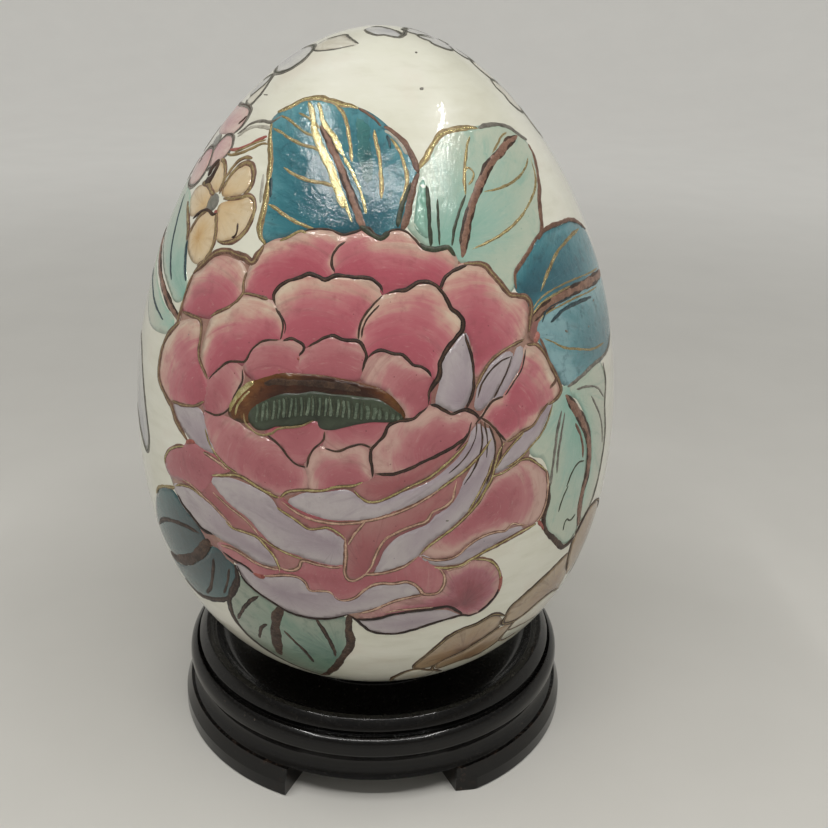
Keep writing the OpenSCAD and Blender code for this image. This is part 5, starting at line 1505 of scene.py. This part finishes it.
# The large pale flower on the back: rings of frilled petals, the outer ones first
BACK_LON, BACK_S = 182.0, 103.0
outlines = []
for ring_no, (count, start, length, paint, tone) in enumerate((
        (9, 17.0, 17.5, "peach_light", (0.1, 1.0)), (8, 10.5, 14.0, "pink", (0.0, 1.0)),
        (6, 4.0, 11.5, "peach_light", (0.0, 0.9)))):
    for i in range(count):
        turn = 360 * (i + 0.5 * ring_no) / count + 6 * math.sin(4.0 * i + ring_no)
        reach_out = length * (1 + 0.08 * math.sin(2.7 * i + ring_no))
        foot = placed([(0, 1)], BACK_LON, BACK_S, turn, start)[0]
        wide = 2.5 * (start + 0.6 * length) * math.sin(math.pi / count) / length
        shape = placed(FRILL, *foot, turn, reach_out, wide)
        level = 0.02 + 0.028 * ring_no
        enamel(f"back_rose_{ring_no}_{i}", paint, shape, (BACK_LON, BACK_S), lift=level + 0.02,
               tone=tone, rim=level)
        outlines.append((ring_no, (0.95, placed(FRILL[2:-2], *foot, turn, reach_out, wide))))
for ring_no, ink, over in ((0, "brown", "gold"), (1, "umber", "rose_gold"), (2, "dark", "umber")):
    trimmed(f"back_rose_outline_{ring_no}", ink, over, [line for k, line in outlines if k == ring_no], 0.45)
back_heart = [(3.6 * math.cos(a) * (1 + 0.12 * math.sin(3 * a)), 4.4 * math.sin(a))
              for a in np.linspace(0, 2 * math.pi, 13)[:-1]]
enamel("back_rose_heart", "amber", placed(back_heart, BACK_LON, BACK_S, 0, 1.0), (BACK_LON, BACK_S),
       lift=0.11, rim=0.09)
lines("back_rose_stamens", "gold", [
    (0.45, placed([(0, 0.6), (0.15, 2.6), (0, 4.6)], BACK_LON, BACK_S, 24 * i + 5 * math.sin(2 * i), 1.0))
    for i in range(15)], 0.18)

for name, paint, ink, vein, turn, length, width, bend in (
        ("back_leaf_teal_top", "teal", "brown", "gold", -20, 36, 0.72, 0.1),
        ("back_leaf_mint_top", "mint", "grey", "gold", 26, 33, 0.68, -0.1),
        ("back_leaf_teal_right", "teal_deep", "brown", "gold", 74, 30, 0.62, 0.12),
        ("back_leaf_mint_left", "mint_pale", "grey", "tan", -72, 29, 0.66, -0.14),
        ("back_leaf_mint_low", "mint", "moss", "moss", 138, 27, 0.62, 0.12),
        ("back_leaf_teal_low", "teal_painted_shade", "dark", "tan", -140, 27, 0.66, -0.1)):
    foot = placed([(0, 1)], BACK_LON, BACK_S, turn, 32.0)[0]
    leaf(name, paint, ink, vein, *foot, length, turn, width, bend)
leaf("side_leaf_mint_right", "mint_pale", "grey", "tan", 98, 128, 30, 168, 0.6)
leaf("side_leaf_teal_left", "teal_deep", "brown", "gold", -96, 108, 25, 200, 0.6)
blossom("back_blossom_pink", "pink", "grey", "umber", 128, 152, 9.5, 20)
blossom("back_blossom_peach", "peach", "umber", "brown", 230, 151, 8.2, 0)
blossom("back_blossom_white", "cloud", "grey", "moss", 186, 181, 9.0, 30, heart="amber")
blossom("side_blossom_white", "cream", "grey", "moss", 95, 168, 10.0, -90, heart="amber")
blossom("side_blossom_grey", "cloud", "grey", "moss", 90, 185, 6.5, -90)
blossom("side_blossom_peach_low", "peach_brown_painted_shade", "dark", "umber", 88, 62, 14.5, 15, 6, "amber")
blossom("side_blossom_pink_left", "pink", "grey", "umber", -99, 150.5, 8.2, -20)
blossom("side_blossom_low_left", "peach", "umber", "brown", -98, 66, 11.0, 12)
blossom("back_blossom_low", "pink", "grey", "umber", 181, 57, 8.5, 40)
trimmed("back_twigs", "brown", "tan", [
    (1.1, [(120, 150), (112, 146), (104, 140), (99, 130)]),
    (1.0, [(141, 152), (149, 149), (156, 143), (162, 136)]),
    (1.0, [(228, 148), (220, 144), (212, 140), (205, 136)]),
    (1.0, [(-112, 144), (-118, 136), (-124, 126), (-134, 118)]),
    (0.9, [(183, 172), (180, 164), (176, 156), (172, 149)]),
    (0.9, [(104, 70), (114, 76), (126, 82), (140, 88)]),
    (0.9, [(-110, 74), (-120, 80), (-132, 86), (-142, 90)]),
], 0.4)

# ------------------------------------------------------------------ the stand

# The CAD ring: radius and height of its rim, height of the feet, radii of the well and of the seat
RIM_R, RIM_H, FOOT_H = 40.4, 19.5, 6.2
WELL_R, SEAT_OUTER_R = 20.0, 24.2
# The egg touches the seat at this angle from its underside
SEAT_ANGLE = math.radians(20)
# The turned profile keeps this far inside the CAD ring's box, and the seat this far under the egg
INSET, SEAT_GAP = 0.02, 0.03
ROUNDING = 0.32


def bow(start, end, depth, steps):
    """Points of a shallow arc from start to end that bulges sideways by depth."""
    start, end = np.array(start), np.array(end)
    run = (end - start) / np.linalg.norm(end - start)
    side = np.array([-run[1], run[0]])
    middle, half = (start + end) / 2, (end - start) / 2
    return [tuple(middle + t * half + side * depth * (1 - t * t)) for t in np.linspace(-1, 1, steps + 1)]


def round_off(points, radius, steps=4):
    """The closed profile with every sharp corner rounded."""
    out = []
    n = len(points)
    for i in range(n):
        a, b, c = (np.array(points[(i + k) % n], float) for k in (-1, 0, 1))
        u, v = a - b, c - b
        lu, lv = np.linalg.norm(u), np.linalg.norm(v)
        if lu < 1e-6 or lv < 1e-6:
            continue
        bend = math.acos(max(-1, min(1, float(u @ v / lu / lv))))
        if bend > math.radians(150):
            out.append(tuple(b))
            continue
        cut = min(radius, 0.4 * lu, 0.4 * lv)
        p, q = b + u / lu * cut, b + v / lv * cut
        for t in np.linspace(0, 1, steps + 1):
            out.append(tuple((1 - t) ** 2 * p + 2 * t * (1 - t) * b + t * t * q))
    return out


def seat():
    """The two ends of the sloping seat, which follows the egg's surface where it rests."""
    step = 0.01
    contact, beyond = (EGG_R * float(girth(a)) for a in (SEAT_ANGLE, SEAT_ANGLE + step))
    slope = EGG_H / 2 * (math.cos(SEAT_ANGLE) - math.cos(SEAT_ANGLE + step)) / (beyond - contact)
    return [(r, RIM_H - 2.8 + (r - contact) * slope - SEAT_GAP) for r in (SEAT_OUTER_R, WELL_R)]


def stand_profile():
    """The ring's section as (radius, height) points: up the outside, over the rim and down the dish."""
    cove_bottom, cove_top = (RIM_R + 4.2, FOOT_H), (RIM_R + 4.2, RIM_H - 7.1)
    moulding = (RIM_R + 4.5 - INSET, RIM_H - 6.1)
    fillet = (RIM_R + 3.1, RIM_H - 3.3)
    groove_low, groove_high = (RIM_R + 2.9, RIM_H - 3.2), (RIM_R + 1.8, RIM_H - 2.3)
    bead = (RIM_R + 2.3, RIM_H - 2.1)
    crest = (RIM_R + 0.5, RIM_H)
    lip_top, lip_low = (RIM_R - 0.8, RIM_H), (RIM_R - 0.8, RIM_H - 0.9)
    dish_top, dish_low = (RIM_R - 1.7, RIM_H - 0.9), (31.0, RIM_H - 5.6)
    seat_outer = (SEAT_OUTER_R, RIM_H - 4.0)
    points = [(WELL_R, FOOT_H + INSET)]
    points += bow(cove_bottom, cove_top, 1.7, 14)
    points += bow(cove_top, moulding, -0.15, 4)[1:]
    points += bow(moulding, fillet, -0.45, 10)[1:]
    points += bow(groove_low, groove_high, 1.6, 10)
    points += bow(bead, crest, -0.1, 6)
    points += [lip_top, lip_low]
    points += bow(dish_top, dish_low, 1.3, 14)
    points += bow(dish_low, seat_outer, 0.5, 8)[1:]
    return round_off(points + seat(), ROUNDING)


lacquer = lacquer_material()
ring_piece = lathe("stand_turned", stand_profile(), lacquer, "stand")
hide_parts("stand_ring")

for foot in ("foot_right", "foot_back", "foot_left"):
    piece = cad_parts[foot]
    piece.data.materials.clear()
    piece.data.materials.append(lacquer)
    rounding = piece.modifiers.new("edges", "BEVEL")
    rounding.width = 0.35 * MM
    rounding.segments = 3
    rounding.limit_method = "ANGLE"
    rounding.angle_limit = math.radians(30)
    rounding.harden_normals = False

# ------------------------------------------------------------------ floor, light and camera
# Lengths from here on are in metres.

FLOOR_R, SWEEP_R, WALL_TOP = 1.0, 0.5, 1.1


def floor():
    """A pale sheet on the table that curves up into a wall all round the object."""
    sweep = [(FLOOR_R + SWEEP_R * math.sin(a), SWEEP_R * (1 - math.cos(a)))
             for a in np.linspace(0, math.pi / 2, 16)]
    path = [(0.35, 0.0)] + sweep + [(FLOOR_R + SWEEP_R, WALL_TOP)]
    count = 96
    turns = [2 * math.pi * i / count for i in range(count)]
    verts = [(0.0, 0.0, 0.0)] + [(r * math.sin(a), -r * math.cos(a), z) for r, z in path for a in turns]
    faces = [(0, 1 + i, 1 + (i + 1) % count) for i in range(count)]
    for k in range(len(path) - 1):
        low, high = 1 + k * count, 1 + (k + 1) * count
        faces += [(low + i, high + i, high + (i + 1) % count, low + (i + 1) % count) for i in range(count)]
    mesh = bpy.data.meshes.new("floor")
    mesh.from_pydata(verts, [], faces)
    mesh.materials.append(floor_material())
    mesh.polygons.foreach_set("use_smooth", [True] * len(faces))
    sheet = bpy.data.objects.new("floor", mesh)
    bpy.context.scene.collection.objects.link(sheet)


floor()

# The light comes from light strips along three sides of a rectangle above the object, as in a photo tent,
# and from the tent's pale walls: the world around and the painted glow of the floor sheet.
STRIP_Z = 0.55
STRIP_W = 0.011
STRIP_RADIANCE = 72.0
TENT_LEFT, TENT_RIGHT = -0.24, 0.228
TENT_FRONT, TENT_BACK = -0.29, 0.06


def light_strip(name, start, end):
    """A downward strip light from start to end (x, y) at STRIP_Z."""
    run = Vector(end) - Vector(start)
    data = bpy.data.lights.new(name, "AREA")
    data.shape = "RECTANGLE"
    data.size, data.size_y = run.length, STRIP_W
    data.energy = STRIP_RADIANCE * math.pi * run.length * STRIP_W
    data.color = (1.0, 0.99, 0.96)
    lamp = bpy.data.objects.new(name, data)
    middle = (Vector(start) + Vector(end)) / 2
    lamp.location = (middle.x, middle.y, STRIP_Z)
    lamp.rotation_euler = (0, 0, math.atan2(run.y, run.x))
    bpy.context.scene.collection.objects.link(lamp)


light_strip("strip_front", (TENT_LEFT, TENT_FRONT), (TENT_RIGHT, TENT_FRONT))
light_strip("strip_left", (TENT_LEFT, TENT_FRONT), (TENT_LEFT, TENT_BACK))
light_strip("strip_right", (TENT_RIGHT, TENT_FRONT), (TENT_RIGHT, TENT_BACK))

world = bpy.data.worlds.new("tent_walls")
world.use_nodes = True
tent = Graph(world.node_tree)
upwards = tent.height(tent.coordinate("Generated"))
walls = tent.ramp(tent.band(upwards, -0.2, 1.0), [
    (0.0, [0.05, 0.05, 0.048, 1.0]), (0.3, [0.1, 0.1, 0.097, 1.0]), (1.0, [0.27, 0.27, 0.262, 1.0])])
tent.feed(tent.nodes["Background"].inputs["Color"], walls)
bpy.context.scene.world = world

# The camera looks down at the front of the egg from a little to the left of its middle. It stands at
# ORBIT from the origin, ELEVATION up, and is then pitched down, turned to the right and rolled.
SENSOR, FOCAL = 36.0, 44.67
ORBIT = 0.271
ELEVATION = math.radians(36.99)
PITCH, YAW, ROLL = math.radians(22.72), math.radians(2.21), math.radians(1.62)
camera_data = bpy.data.cameras.new("camera")
camera_data.sensor_width = SENSOR
camera_data.lens = FOCAL
camera_data.clip_start = 0.01
camera = bpy.data.objects.new("camera", camera_data)
forward = Vector((math.sin(YAW) * math.cos(PITCH), math.cos(YAW) * math.cos(PITCH), -math.sin(PITCH)))
level_right = Vector((math.cos(YAW), -math.sin(YAW), 0))
level_up = level_right.cross(forward)
right = math.cos(ROLL) * level_right + math.sin(ROLL) * level_up
upward = math.cos(ROLL) * level_up - math.sin(ROLL) * level_right
position = Vector((0, -ORBIT * math.cos(ELEVATION), ORBIT * math.sin(ELEVATION)))
facing = Matrix((right, upward, -forward)).transposed()
camera.matrix_world = Matrix.Translation(position) @ facing.to_4x4()
bpy.context.scene.collection.objects.link(camera)
bpy.context.scene.camera = camera
bpy.context.scene.view_settings.view_transform = "Standard"
